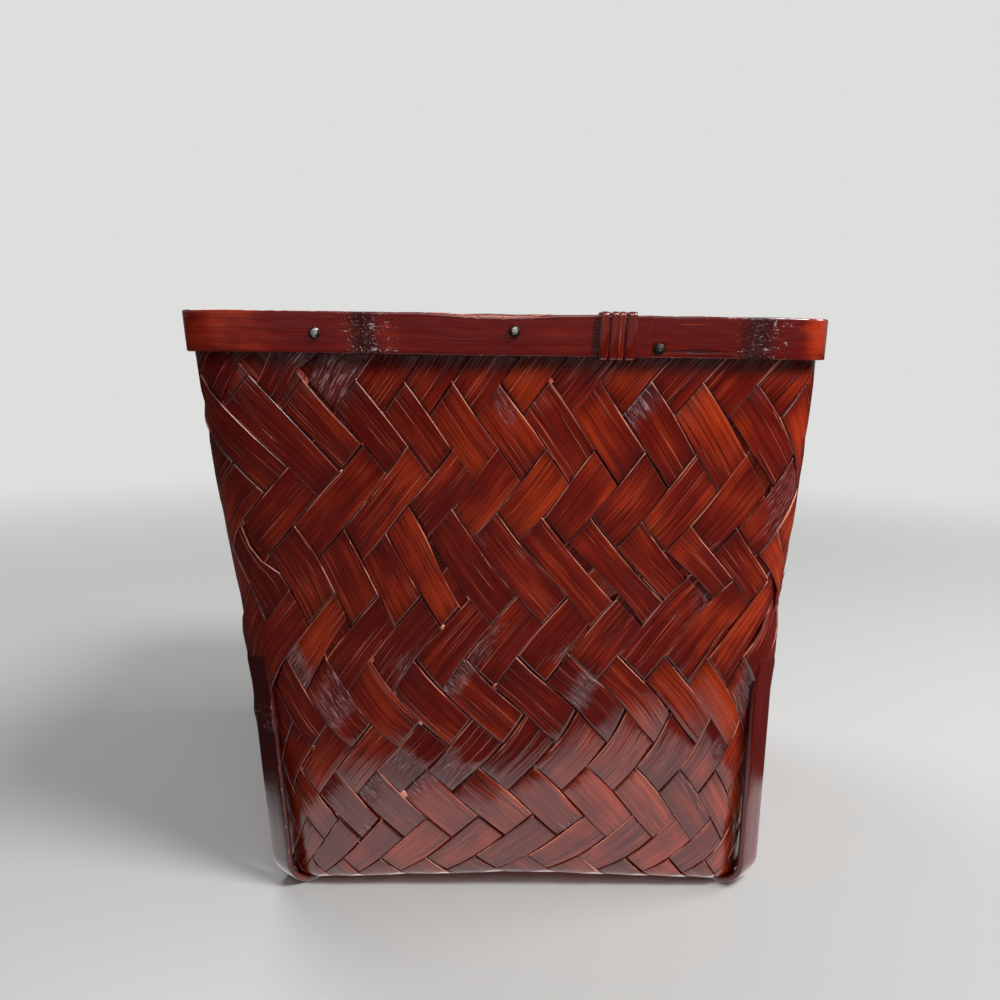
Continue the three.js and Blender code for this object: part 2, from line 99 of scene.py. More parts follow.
# Gaps between neighbours: which way they lean, the lower one's number, the crossing splint
# where a gap is widest, how far it runs back from there, its width, and which of the two
# stands back: the lower one (-1), the upper one (1) or both (0)
GAPS = (
    ("falls", 4, -7.1, 2.0, 0.34, -1),
    ("falls", 7, -4.1, 1.8, 0.15, 0),
    ("falls", 9, -2.6, 1.4, 0.14, 0),
    ("falls", 11, -0.5, 1.8, 0.36, 1),
    ("falls", 12, -2.9, 1.6, 0.34, 1),
    ("falls", 0, -12.8, 0.6, 0.30, -1),
    ("rises", -10, 2.0, 1.0, 0.30, -1),
    ("rises", -16, 3.6, 0.9, 0.24, 0),
    ("rises", -15, 4.4, 0.9, 0.18, 0),
    ("falls", -3, -5.4, 1.4, 0.12, 0),
    ("rises", 14, 26.1, 0.9, 0.3, 1),
    ("falls", 20, 9.6, 1.0, 0.3, -1),
    ("rises", -24, -13.5, 0.9, 0.3, 0),
    ("falls", -14, -25.5, 0.9, 0.32, 1),
)
# Where the skin of a splint is torn: which way it leans, its number, the crossing splint, reach
TORN = (
    ("rises", -14, 5.2, 0.55),
    ("rises", -15, 4.9, 0.3),
    ("falls", 11, -7.6, 0.5),
    ("rises", -10, -0.4, 0.35),
    ("falls", 0, -8.7, 0.5),
    ("rises", -6, 0.2, 0.35),
    ("falls", -1, -6.5, 0.55),
    ("falls", 0, -5.4, 0.3),
    ("falls", 3, -6.5, 0.35),
    ("falls", 5, -3.7, 0.25),
    ("falls", 9, 0.2, 0.4),
    ("falls", 2, -1.4, 0.3),
    ("rises", 12, 22.5, 0.5),
    ("falls", 24, 11.0, 0.5),
    ("rises", 20, 30.5, 0.4),
    ("falls", -12, -20.5, 0.6),
)

# The nails of each side: its name, quarter turns from the front, and, in millimetres, the
# nails' places along it and how far they lie below the hoops' top
NAIL_SETS = (
    ("front", 0, (-76.5, 2.5, 60), (8.6, 7, 13)),
    ("right", 1, (-76, -2, 75), (8.4, 9, 8)),
    ("back", 2, (-74, 2, 77), (8, 9.2, 8.6)),
    ("left", 3, (-77, 0, 73), (9, 8.2, 8.8)),
)


def length(name, description, default):
    return FloatProperty(
        name=name, description=description, default=default, unit="LENGTH", precision=5
    )


def angle(name, description, degrees):
    return FloatProperty(
        name=name, description=description, default=math.radians(degrees), subtype="ANGLE"
    )


def colour(name, description, default):
    return FloatVectorProperty(
        name=name, description=description, default=default, subtype="COLOR", size=3, min=0, max=1
    )


class FormSettings(bpy.types.PropertyGroup):
    """The sizes that the whole basket follows"""

    height: length("Height", "Standing surface to the hoops' top", HOOP_HIGH.z)
    top_half: length("Half width at the top", "Weave only, at the rim", 129 * MM)
    base_half: length("Half width at the base", "Weave only, at the base", 109 * MM)
    wall_bulge: length("Wall bulge", "How far the walls belly out", 2.6 * MM)
    top_corner: length("Top corner", "Corner radius at the rim", 13 * MM)
    base_corner: length("Base corner", "Corner radius at the base", 22 * MM)
    corner_swell: length("Corner swell", "Extra corner radius half way up", 10 * MM)
    base_shift: length("Base shift", "How far the base stands to the right of the rim", 8.6 * MM)
    thickness: length("Weave thickness", "Two splints and the play between them", 2.4 * MM)
    edge_radius: length("Base edge radius", "Bend between wall and base", 5 * MM)
    below_hoops: length("Weave below hoops", "From the hoops' top down to the cut splints", 1.2 * MM)
    corner_level: length("Base corner level", "Over the floor, where runners carry it", 3.1 * MM)
    gap: length("Seat gap", "Play between seated pieces", 0.3 * MM)


class SplintSettings(bpy.types.PropertyGroup):
    """One woven splint"""

    width: length("Splint width", "Width of a full splint", 17.4 * MM)
    thickness: length("Splint thickness", "Thickness of a splint", 0.95 * MM)
    level: length("Float level", "How far a float lies from the middle of the weave", 0.68 * MM)
    bow: length("Float bow", "How far the middle of a float stands proud", 0.24 * MM)
    crown: length("Crown", "Rise of a splint's middle over its edges", 0.07 * MM)
    tip: length("Tip", "How far a float's edges may stand off level", 0.26 * MM)
    seed: IntProperty(name="Seed", description="Picks the splints' small differences", default=7)


class HoopSettings(bpy.types.PropertyGroup):
    """The two hoops that hold the rim"""

    height: length("Outer hoop height", "Width of the outer strip", 16.5 * MM)
    inner_height: length("Inner hoop height", "Width of the inner strip", 15.3 * MM)
    thickness: length("Outer hoop thickness", "Thickness of the outer strip", 3 * MM)
    inner_thickness: length("Inner hoop thickness", "Thickness of the inner strip", 2.6 * MM)
    scarf_tip: length("Scarf tip", "Thickness left at a scarfed end", 0.9 * MM)
    scarf_rise: length("Scarf rise", "How quickly the over end climbs", 3 * MM)
    lap_start: length("Outer lap start", "Along the rim from the front's middle", 31 * MM)
    lap_length: length("Outer lap length", "Length of the outer scarf", 26 * MM)
    inner_lap_start: length("Inner lap start", "Along the rim from the front's middle", 520 * MM)
    inner_lap_length: length("Inner lap length", "Length of the inner scarf", 34 * MM)
    node_spacing: length("Culm node spacing", "Between the bamboo's nodes", 170 * MM)
    first_node: length("First culm node", "Along the rim from the front's middle", 102 * MM)
    node_count: IntProperty(name="Culm nodes", description="Nodes round the hoop", default=6)
    node_rise: length("Culm node rise", "Swelling of a node", 0.7 * MM)
    node_width: length("Culm node width", "Half width of a node's swelling", 4.5 * MM)
    dip_place: length("Worn dip", "Middle of the worn top edge", -4 * MM)
    dip_length: length("Worn dip length", "Length of the worn top edge", 62 * MM)
    dip_depth: length("Worn dip depth", "Depth of the worn top edge", 1.3 * MM)


class LashingSettings(bpy.types.PropertyGroup):
    """The cane strand over the outer hoop's lap"""

    thickness: length("Strand thickness", "Thickness of the cane", 1 * MM)
    pitch: length("Strand pitch", "From one turn to the next", 3.95 * MM)
    place: length("Lashing place", "Middle of the turns, along the rim", 44 * MM)
    turn_radius: length("Strand bend", "Bend over the hoops' edges", 1.3 * MM)


class NailSettings(bpy.types.PropertyGroup):
    """The rim's nails"""

    head_radius: length("Head radius", "Radius of a nail's head", 2.35 * MM)
    head_height: length("Head height", "Height of a nail's head", 1.5 * MM)
    shank_radius: length("Shank radius", "Radius of a nail's shank", 0.75 * MM)
    length: length("Nail length", "Length under the head", 8 * MM)


class RunnerSettings(bpy.types.PropertyGroup):
    """The two bent strips under the base"""

    width: length("Runner width", "Width of a strip", 14 * MM)
    thickness: length("Runner thickness", "Thickness of a strip", 2.8 * MM)
    bend_radius: length("Runner bend", "Outer radius of a foot", 14 * MM)
    follow_height: length("Follow height", "Above it a leg lies on the corner", 96 * MM)
    tuck: length("Tuck", "How far a tip reaches up under the splints", 23 * MM)
    stand_off: length("Stand-off", "How far a foot stands off the corner", 4 * MM)
    taper: length("Tip taper", "Length of the thinned tip", 10 * MM)
    tip_thickness: length("Tip thickness", "Thickness of the tip", 1.1 * MM)
    tip_width: length("Tip width", "Width of the tip", 10.5 * MM)
    node_height: length("Node height", "Height of the front left leg's node", 84 * MM)
    node_rise: length("Node rise", "Swelling of that node", 0.8 * MM)
    node_width: length("Node width", "Half width of that node's swelling", 4.5 * MM)
    cross_flat: length("Crossing flat", "Half length of the arch's flat", 9 * MM)
    cross_ramp: length("Crossing ramp", "Length of the arch's ramps", 52 * MM)


class FinishSettings(bpy.types.PropertyGroup):
    """Colours of the finishes"""

    deep: colour("Deep lacquer", "Where the lacquer lies thick", (0.125, 0.0065, 0.0050))
    red: colour("Red lacquer", "The lacquer over most of a splint", (0.265, 0.015, 0.0060))
    glow: colour("Worn lacquer", "Where the bamboo shines through", (0.56, 0.055, 0.010))
    # Dark grain and cracks, also laid on as painted shade at the floats' ends, under the hoops, beside
    # the lashing and at the runners' tips
    dark_grain_and_shade: colour("Dark grain", "Stained grain and cracks", (0.040, 0.0018, 0.0012))
    # Bare edges, also laid on as painted highlights on the splints' upper edges and along their grain
    edge: colour("Bare edge", "Cut edges where the lacquer has gone", (0.76, 0.27, 0.17))
    scuff: colour("Scuffed lacquer", "Dulled flakes beside the nodes", (0.46, 0.34, 0.37))
    iron: colour("Nail iron", "Worn heads", (0.62, 0.59, 0.54))
    rust: colour("Nail tarnish", "Dark hollows of the heads", (0.035, 0.025, 0.02))


class StageSettings(bpy.types.PropertyGroup):
    """Floor, light and camera"""

    floor: colour("Floor", "Plain pale floor", (0.47, 0.47, 0.46))
    backdrop: colour("Backdrop", "Plain pale backdrop", (0.73, 0.73, 0.72))
    lit_floor: colour("Lit floor", "Floor near the basket, as gloss shows it", (0.76, 0.73, 0.73))
    far_floor: colour("Far floor", "Floor further off, as gloss shows it", (0.035, 0.033, 0.033))
    lit_reach: length("Lit reach", "How far round the basket gloss shows the lit floor", 0.18)
    soft_light: colour("Soft light", "Colour of the light from all round", (0.93, 0.96, 1.0))
    camera_height: length("Camera height", "Height of the lens", 240.9 * MM)
    camera_distance: length("Camera distance", "In front of the basket's middle", 506.3 * MM)
    camera_side: length("Camera to the left", "Left of the basket's middle", 9.6 * MM)
    camera_pitch: angle("Camera pitch", "How far the camera looks down", 8.652)
    camera_yaw: angle("Camera yaw", "How far the camera looks to the right", 1.15)
    camera_roll: angle("Camera roll", "How far the camera is tipped", 0.805)


GROUPS = {
    "form": FormSettings,
    "splint": SplintSettings,
    "hoop": HoopSettings,
    "lashing": LashingSettings,
    "nail": NailSettings,
    "runner": RunnerSettings,
    "finish": FinishSettings,
    "stage": StageSettings,
}


class BasketSettings(bpy.types.PropertyGroup):
    """All settings of the basket"""

    __annotations__ = {name: PointerProperty(type=group) for name, group in GROUPS.items()}


# Numbers


def mix(a, b, part):
    return a + (b - a) * part


def ease(x):
    x = np.clip(x, 0, 1)
    return x * x * (3 - 2 * x)


def wrapped(number):
    """A number of splints round the basket, by the nearer way from the middle of the front"""
    return (number + AROUND / 2) % AROUND - AROUND / 2


def bell(x):
    return np.exp(-(x**2))


def vectors(x, y, z):
    return np.stack(np.broadcast_arrays(x, y, z), -1)


def walked(x, y):
    """How far along a path each of its points lies"""
    return np.cumsum(np.hypot(np.diff(x, prepend=x[0]), np.diff(y, prepend=y[0])))


def row_up(a, b):
    """The row of a splint's place on either wall that it climbs. It is negative on the base."""
    return np.maximum(b - a, -SIDE_SPLINTS - a - b) / 2


def way_round(side, a, b):
    """How far round the basket a splint's place lies, on either wall that it climbs"""
    rising = SIDE_SPLINTS * side + (a + b) / 2
    falling = SIDE_SPLINTS * (side - 1) - a - row_up(a, b)
    return np.where((b < a) & (b < -SIDE_SPLINTS - a), falling, rising)


def curve_through(places, values):
    """A smooth curve through points, as a function of place"""
    places, values = np.array(places, float), np.array(values, float)
    slopes = np.gradient(values, places)

    def curve(x):
        k = np.clip(np.searchsorted(places, x) - 1, 0, len(places) - 2)
        step = places[k + 1] - places[k]
        t = np.clip((x - places[k]) / step, -1, 2)
        return (
            (2 * t**3 - 3 * t**2 + 1) * values[k]
            + (t**3 - 2 * t**2 + t) * step * slopes[k]
            + (3 * t**2 - 2 * t**3) * values[k + 1]
            + (t**3 - t**2) * step * slopes[k + 1]
        )

    return curve


# The basket's form


class Ripple:
    """Smooth noise over the weave that closes on itself round the basket"""

    def __init__(self, seed, waves=9, finest=7):
        pick = np.random.default_rng(seed)
        self.turns = pick.integers(1, finest, waves)
        self.climbs = pick.uniform(-0.7, 0.7, waves)
        self.phases = pick.uniform(0, 2 * math.pi, waves)

    def __call__(self, s, t):
        total = 0
        for turn, climb, phase in zip(self.turns, self.climbs, self.phases):
            total = total + np.sin(2 * math.pi * turn * s / AROUND + climb * t + phase)
        return total / math.sqrt(len(self.turns))


class Form:
    """The rounded square that the weave's outside follows, and the weave's own lattice"""

    # How far the lattice sways, in crossings, and how it tilts at a few rows half way up
    SWAY = 0.07
    TILT = 0.30
    TILT_ROW = 7.2
    TILT_REACH = 1.3
    # Rows at the base over which the lattice comes to sway and tilt, and those at the top over
    # which it comes back into line
    CALM_LOW = 1.5
    CALM_TOP = 0.8
    # How much wider splints stand at the middle of a side than at its corners, how much of that
    # is lost higher up, and where in the height that starts and how far it goes on
    CROWDED = 0.33
    CROWDED_LOSS = 0.37
    LOSS_FROM = 0.2
    LOSS_OVER = 0.65
    # Keeps a place of the base on the side that it was found on
    WITHIN = 0.99999

    def __init__(self, sizes, hoop_height):
        self.sizes = sizes
        self.weave_top = sizes.height - sizes.below_hoops
        half, corner, _ = self.section(sizes.height - hoop_height / 2)
        self.rim_flat = 2 * (half - corner)
        self.rim_arc = corner * math.pi / 2
        self.rim_length = 4 * (self.rim_flat + self.rim_arc)
        self.level_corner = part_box("lower_base_runner")[0].z + sizes.corner_level
        self.level_centre = 2 * self.level_corner
        self.edge_arc = sizes.edge_radius * math.pi / 2
        wall_foot = self.level_centre + sizes.edge_radius
        rows = [(0, 0, 0)]
        rows += [(row, self.edge_arc + z * MM - wall_foot, creep) for row, z, creep in ROWS]
        rows.append((TOP_ROW, self.edge_arc + self.weave_top - wall_foot, 0.37))
        places, climbs, creeps = zip(*rows)
        self.climb_at = curve_through(places, climbs)
        self.creep_at = curve_through(places, creeps)
        self.climb_top = climbs[-1]
        self.sway_up = Ripple(3)
        self.sway_along = Ripple(5)

    def section(self, z):
        """Half width, corner radius and shift of the outline at a height"""
        sizes = self.sizes
        rise = np.clip(z / sizes.height, 0, 1)
        half = mix(sizes.base_half, sizes.top_half, rise)
        half = half + sizes.wall_bulge * np.sin(math.pi * rise**2)
        corner = mix(sizes.base_corner, sizes.top_corner, rise)
        corner = corner + sizes.corner_swell * np.sin(math.pi * rise)
        return half, corner, sizes.base_shift * (1 - rise)

    def outline(self, side, along, turn, z, offset):
        half, corner, shift = self.section(z)
        flat = half - corner
        facing = (side - 1) * math.pi / 2
        heading = facing + turn * math.pi / 2
        reach = corner + offset
        x = shift + flat * np.cos(facing) - along * flat * np.sin(facing) + reach * np.cos(heading)
        y = flat * np.sin(facing) + along * flat * np.cos(facing) + reach * np.sin(heading)
        return vectors(x, y, z)

    def corner_reach(self, z):
        half, corner, _ = self.section(z)
        return math.sqrt(2) * (half - corner) + corner

    def base_level(self, x, y):
        reach = self.corner_reach(0) - self.sizes.edge_radius
        toward_corner = np.minimum(1, 2 * np.abs((x - self.sizes.base_shift) * y) / reach**2)
        return mix(self.level_centre, self.level_corner, toward_corner)

    def crowding(self, row):
        """How much the splints stand wider at the middle of a side than at its corners"""
        part = ease((row / TOP_ROW - self.LOSS_FROM) / self.LOSS_OVER)
        return self.CROWDED - self.CROWDED_LOSS * part

    def spot(self, s, z, crowding):
        """Side, along and turn of a place round the weave, counted in splints"""
        half, corner, _ = self.section(z)
        flat = half - corner
        side = np.round(s / SIDE_SPLINTS)
        q = (s - SIDE_SPLINTS * side) / HALF_SIDE
        distance = (flat + corner * math.pi / 4) * q * (1 + crowding * (1 - q**2))
        along = np.clip(distance / flat, -1, 1)
        turn = (distance - along * flat) / (corner * math.pi / 2)
        return side, along, turn

    def wall(self, s, row, depth):
        """A point of the wall, a row up from the base and a depth under the outer face"""
        inside = np.clip(row, 0, self.CALM_LOW) / self.CALM_LOW
        push_along, push_up = self.pushed(s, row)
        tilt = self.TILT * np.sin(4 * math.pi * s / AROUND)
        tilt = tilt * bell((row - self.TILT_ROW) / self.TILT_REACH)
        row_now = row + inside * (self.SWAY * self.sway_up(s, row) + push_up - tilt)
        row_now = mix(row_now, row, ease((row - TOP_ROW + self.CALM_TOP) / self.CALM_TOP))
        s_now = s + self.creep_at(row_now) + inside * (self.SWAY * self.sway_along(s, row) + push_along)
        climb = self.climb_at(row_now)
        sizes = self.sizes
        side, along, turn = self.spot(s_now, 0.0, self.crowding(0))
        foot = self.outline(side, along, turn, 0.0, -sizes.edge_radius)
        level = self.base_level(foot[..., 0], foot[..., 1])
        bend = np.clip(climb / sizes.edge_radius, 0, math.pi / 2)
        radius = sizes.edge_radius - depth
        part = (climb - self.edge_arc) / (self.climb_top - self.edge_arc)
        in_bend = level + depth + radius * (1 - np.cos(bend))
        on_wall = mix(level + sizes.edge_radius, self.weave_top, part)
        z = np.where(climb < self.edge_arc, in_bend, on_wall)
        side, along, turn = self.spot(s_now, z, self.crowding(row_now))
        return self.outline(side, along, turn, z, radius * np.sin(bend) - sizes.edge_radius)

    def pushed(self, s, row):
        """How far the lattice is pushed along and up"""
        along, up = 0, 0
        for place, rise, push_along, push_up, reach, reach_up in PUSHED:
            away, above = wrapped(s - place) / reach, (row - rise) / reach_up
            near = np.exp(-(away**2) - above**2)
            along, up = along + push_along * near, up + push_up * near
        return along, up

    def base(self, side, u, v, depth):
        """A point of the base, in the lattice of the side that it is seen from"""
        ring = np.maximum(np.maximum(np.abs(u), np.abs(v)) / HALF_SIDE, 1e-6)
        turns = np.select([-v >= np.abs(u), u >= np.abs(v), v >= np.abs(u)], [0, 1, 2], 3)
        q = np.select([turns == 0, turns == 1, turns == 2], [u, v, -u], -v) / ring
        s = SIDE_SPLINTS * (side + turns) + q * self.WITHIN
        crowding = self.crowding(0) * ring**2
        side_now, along, turn = self.spot(s, 0.0, crowding)
        foot = self.outline(side_now, along, turn, 0.0, -self.sizes.edge_radius)
        z = self.base_level(foot[..., 0], foot[..., 1]) + depth
        side_now, along, turn = self.spot(s, z, crowding)
        edge = self.outline(side_now, along, turn, z, -self.sizes.edge_radius)
        shift = self.section(z)[2]
        x = shift + ring * (edge[..., 0] - shift)
        y = ring * edge[..., 1]
        return vectors(x, y, self.base_level(x, y) + depth)

    def sheet(self, side, a, b, depth):
        """A point of the whole weave. A splint keeps its a, and b runs along it, down one
        wall, across the base and up the next wall."""
        across = -SIDE_SPLINTS - a
        first, last = b >= a, b <= across
        row = np.where(first, b - a, np.where(last, across - b, 0)) / 2
        wall = self.wall(way_round(side, a, b), row, depth)
        base = self.base(side, (a + b) / 2, (a - b) / 2 - HALF_SIDE, depth)
        return np.where((first | last)[..., None], wall, base)

    def rim_spot(self, distance):
        """Side, along and turn of a distance round the rim, from the middle of the front"""
        pace = self.rim_flat + self.rim_arc
        walked = np.mod(distance + self.rim_flat / 2, self.rim_length)
        side = np.minimum(3, np.floor(walked / pace))
        rest = walked - side * pace
        along = np.minimum(2 * rest / self.rim_flat - 1, 1)
        turn = np.maximum(rest - self.rim_flat, 0) / self.rim_arc
        return side, along, turn

    def rim(self, distance, z, offset):
        return self.outline(*self.rim_spot(distance), z, offset)


def rises_left(half_row):
    """Whether the splints that lean left lie outside in a half row of the herringbone"""
    if half_row in LONG_ROW:
        return True
    if half_row > LONG_ROW[-1]:
        return (half_row - LONG_ROW[-1] - 1) % 4 in (2, 3)
    return half_row % 4 in (0, 1)


def lean(side, i, rises):
    """A splint's number round the basket, on the wall that it climbs by rising to the right
    and on the one where it falls to the right"""
    return wrapped(SIDE_SPLINTS * side + i if rises else SIDE_SPLINTS * (side - 1) - i - 1)


def swapped_over(side, i, j):
    """Whether the order is changed where place j of a splint lies"""
    other = wrapped(j + SIDE_SPLINTS * side)
    if j >= i:
        return (lean(side, i, True), other) in SWAPPED
    return j <= -SIDE_SPLINTS - i - 1 and (other, lean(side, i, False)) in SWAPPED


def lies_outside(i, j):
    """Whether the splint of column i lies outside where it crosses splint j"""
    u, v = (i + j + 1) / 2, (i - j) / 2 - HALF_SIDE
    if -v >= abs(u) or (v < -HALF_SIDE and j >= i):
        return not rises_left(j - i)
    if j <= -SIDE_SPLINTS - i - 1 or -u >= abs(v):
        return rises_left(-i - j - SIDE_SPLINTS - 1)
    if v >= abs(u):
        return not rises_left(i - j - 2 * SIDE_SPLINTS)
    return rises_left(i + j - SIDE_SPLINTS + 1)


# Meshes


def ring_faces(stations, around):
    """Faces of a closed tube of stations, each a ring of points, with both ends capped"""
    k, i = np.meshgrid(np.arange(stations - 1), np.arange(around), indexing="ij")
    j = (i + 1) % around
    quads = np.stack([k * around + i, k * around + j, (k + 1) * around + j, (k + 1) * around + i], -1)
    faces = quads.reshape(-1, 4).tolist()
    faces.append(list(range(around))[::-1])
    faces.append(list(range((stations - 1) * around, stations * around)))
    return faces


def put(name, data):
    """A new object in the scene"""
    thing = bpy.data.objects.new(name, data)
    bpy.context.scene.collection.objects.link(thing)
    return thing


class MeshParts:
    """Gathers closed tubes and makes one object of them"""

    LAYERS = ("place", "marks", "scars_and_painted_light")

    def __init__(self):
        self.points, self.faces, self.count = [], [], 0
        self.layers = {label: [] for label in self.LAYERS}

    def add(self, rings, place, marks, scars_and_painted_light=(0.0, 0.0, 0.0)):
        """rings is an array of stations by points by three, which the others follow"""
        stations, around = rings.shape[:2]
        self.faces += [[self.count + n for n in face] for face in ring_faces(stations, around)]
        self.points.append(rings.reshape(-1, 3))
        for label, values in zip(self.LAYERS, (place, marks, scars_and_painted_light)):
            self.layers[label].append(np.broadcast_to(values, rings.shape).reshape(-1, 3))
        self.count += stations * around

    def build(self, name, material, slot, *nodes):
        mesh = bpy.data.meshes.new(name)
        mesh.from_pydata(np.concatenate(self.points).tolist(), [], self.faces)
        for label, values in self.layers.items():
            layer = mesh.attributes.new(label, "FLOAT_VECTOR", "POINT")
            layer.data.foreach_set("vector", np.concatenate(values).astype(np.float32).ravel())
        mesh.validate()
        mesh.shade_smooth()
        mesh.materials.append(material)
        piece = put(name, mesh)
        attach(piece, "root")
        if nodes:
            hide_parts(*nodes)


# Shaders


class Value:
    """A socket that takes Python's arithmetic, one Math node for each operation"""

    def __init__(self, shader, socket):
        self.shader = shader
        self.socket = socket

    def math(self, operation, *others):
        inputs = dict(enumerate((self, *others)))
        return self.shader.node("ShaderNodeMath", {"operation": operation}, inputs)

    def __add__(self, other):
        return self.math("ADD", other)

    __radd__ = __add__

    def __sub__(self, other):
        return self.math("SUBTRACT", other)

    def __rsub__(self, other):
        return self.shader.node("ShaderNodeMath", {"operation": "SUBTRACT"}, {0: other, 1: self})

    def __mul__(self, other):
        return self.math("MULTIPLY", other)

    __rmul__ = __mul__

    def least(self, other):
        return self.math("MINIMUM", other)

    def most(self, other):
        return self.math("MAXIMUM", other)

    def near(self, level, width):
        """1 at a level, and 0 where it is further off than a width"""
        return 1 - (self - level).math("ABSOLUTE").ramp(0.0, width)

    def ramp(self, low, high):
        """0 up to low, 1 from high on, and smooth between"""
        settings = {"interpolation_type": "SMOOTHSTEP", "clamp": True}
        inputs = {"Value": self, "From Min": low, "From Max": high}
        return self.shader.node("ShaderNodeMapRange", settings, inputs, "Result")


class Shader:
    """The nodes of a material or a world"""

    def __init__(self, owner):
        self.owner = owner
        owner.use_nodes = True
        self.tree = owner.node_tree
        self.tree.nodes.clear()

    def node(self, kind, settings=None, inputs=None, output=0):
        """A node, with its settings made before its sockets are filled or linked"""
        node = self.tree.nodes.new(kind)
        for name, value in (settings or {}).items():
            setattr(node, name, value)
        for name, value in (inputs or {}).items():
            if isinstance(value, Value):
                self.tree.links.new(value.socket, node.inputs[name])
            else:
                node.inputs[name].default_value = value
        return Value(self, node.outputs[output]) if len(node.outputs) else None

    def attribute(self, name):
        return self.node("ShaderNodeAttribute", {"attribute_name": name}, output="Vector")

    def parts(self, vector):
        split = self.node("ShaderNodeSeparateXYZ", inputs={0: vector})
        return [Value(self, split.socket.node.outputs[k]) for k in range(3)]

    def noise(self, vector, scale, detail, roughness=0.5):
        inputs = {"Vector": vector, "Scale": scale, "Detail": detail, "Roughness": roughness}
        return self.node("ShaderNodeTexNoise", {"noise_dimensions": "3D"}, inputs, "Fac")

    def grain(self, vector, stretch, detail, roughness=0.5):
        """Noise that is stretched along the grain"""
        scaled = self.node("ShaderNodeVectorMath", {"operation": "MULTIPLY"}, {0: vector, 1: stretch})
        return self.noise(scaled, 1, detail, roughness)

    def blend(self, factor, a, b):
        """Two colours, mixed by a factor"""
        a, b = (c if isinstance(c, Value) else (*c, 1.0) for c in (a, b))
        return self.node("ShaderNodeMix", {"data_type": "RGBA"}, {6: a, 7: b, 0: factor}, 2)

    def coats(self, base, *coats):
        """A base colour under coats, each a factor and a colour"""
        for factor, colour_over in coats:
            base = self.blend(factor, base, colour_over)
        return base

    def bump(self, height, distance):
        inputs = {"Height": height, "Distance": distance}
        return self.node("ShaderNodeBump", inputs=inputs, output="Normal")

    def either(self, factor, a, b):
        """Two shaders, mixed by a factor"""
        return self.node("ShaderNodeMixShader", inputs={0: factor, 1: a, 2: b})

    def surface(self, inputs):
        """The main shader, wired to the output"""
        shader = self.node("ShaderNodeBsdfPrincipled", inputs=inputs)
        self.node("ShaderNodeOutputMaterial", inputs={"Surface": shader})
        return self.owner


def lacquered_splint(finish):
    """Red lacquer over split bamboo: long grain, worn bright streaks and bare edges, with painted
    highlights on the upper edges and along the grain, and painted shade at the floats' ends and under
    the hoops
    """
    make = Shader(bpy.data.materials.new("lacquered_splint"))
    place = make.attribute("place")
    edge, near_end, tone = make.parts(make.attribute("marks"))
    scar, below_top, age = make.parts(make.attribute("scars_and_painted_light"))
    hair = make.grain(place, (26, 2100, 1), 2, 0.7)
    light_hair = make.grain(place, (20, 1900, 3), 2, 0.7)
    strand = make.grain(place, (7, 900, 1), 2, 0.7)
    band = make.grain(place, (8, 200, 1), 2)
    cloud = make.grain(place, (34, 42, 1), 2)
    dash = make.grain(place, (17, 950, 2), 1)
    torn = make.grain(place, (130, 2300, 1), 3, 0.8)
    torn_zone = make.grain(place, (20, 34, 2.3), 2).ramp(0.64, 0.70)
    torn_zone = (torn_zone * 0.7).most((scar * 0.9 + torn * 0.8 - 0.55).ramp(0.1, 0.5))
    thin = (cloud * 0.6 + band * 0.4 + tone * 0.34).ramp(0.40, 1.00)
    shine = (strand * 0.3 + band * 0.4 + cloud * 0.8 + tone * 0.26).ramp(0.84, 1.16)
    dark = (1 - hair.ramp(0.32, 0.56)) * 0.75
    dark = dark.most((1 - strand.ramp(0.30, 0.44)) * 0.5)
    dark = dark.most(dash.ramp(0.665, 0.69) * 0.9)
    # Painted shade where a float dives under the splint that crosses it, darkest at its very end
    dark = dark.most(near_end.ramp(0.91, 0.98) * 0.85)
    dark = dark + (1 - dark) * near_end * near_end * 0.6
    # Painted shadow on the splints just under the hoops
    dark = dark.most((1 - below_top.ramp(0.64, 0.95)) * 0.93)
    dark = dark + (1 - dark) * age.ramp(0.1, 1.1) * 0.46
    dark = dark.most(torn_zone * (1 - torn.ramp(0.46, 0.56)) * 0.95)
    rubbed = make.grain(place, (60, 60, 1), 2).ramp(0.46, 0.58)
    # Pale edges: bare wood, and on the upper edge more of it as a painted highlight
    pale = edge.ramp(0.5, 1.0) * (rubbed * 0.85 + 0.06)
    # Pale glints along the grain, painted highlights
    pale = pale.most((light_hair * 0.8 + dash * 0.3).ramp(0.67, 0.73) * 0.55)
    colour_now = make.coats(
        finish.deep,
        (thin, finish.red),
        (shine * 0.75, finish.glow),
        (light_hair.ramp(0.54, 0.74) * 0.45, finish.glow),
        (dark, finish.dark_grain_and_shade),
        (pale * (1 - age * 0.35), finish.edge),
        (torn_zone * torn.ramp(0.55, 0.64) * 0.7, finish.scuff),
    )
    height = hair * 0.10 + strand * 0.60 + band * 1.2 + cloud * 2.0 + torn * torn_zone * 1.2
    height = height - dash.ramp(0.64, 0.69) * 0.2
    return make.surface(
        {
            "Base Color": colour_now,
            "Roughness": 0.05 + torn_zone * 0.08 + edge * 0.3 + near_end.ramp(0.90, 0.98) * 0.3,
            "IOR": 1.7,
            "Normal": make.bump(height, 0.00022),
        }
    )


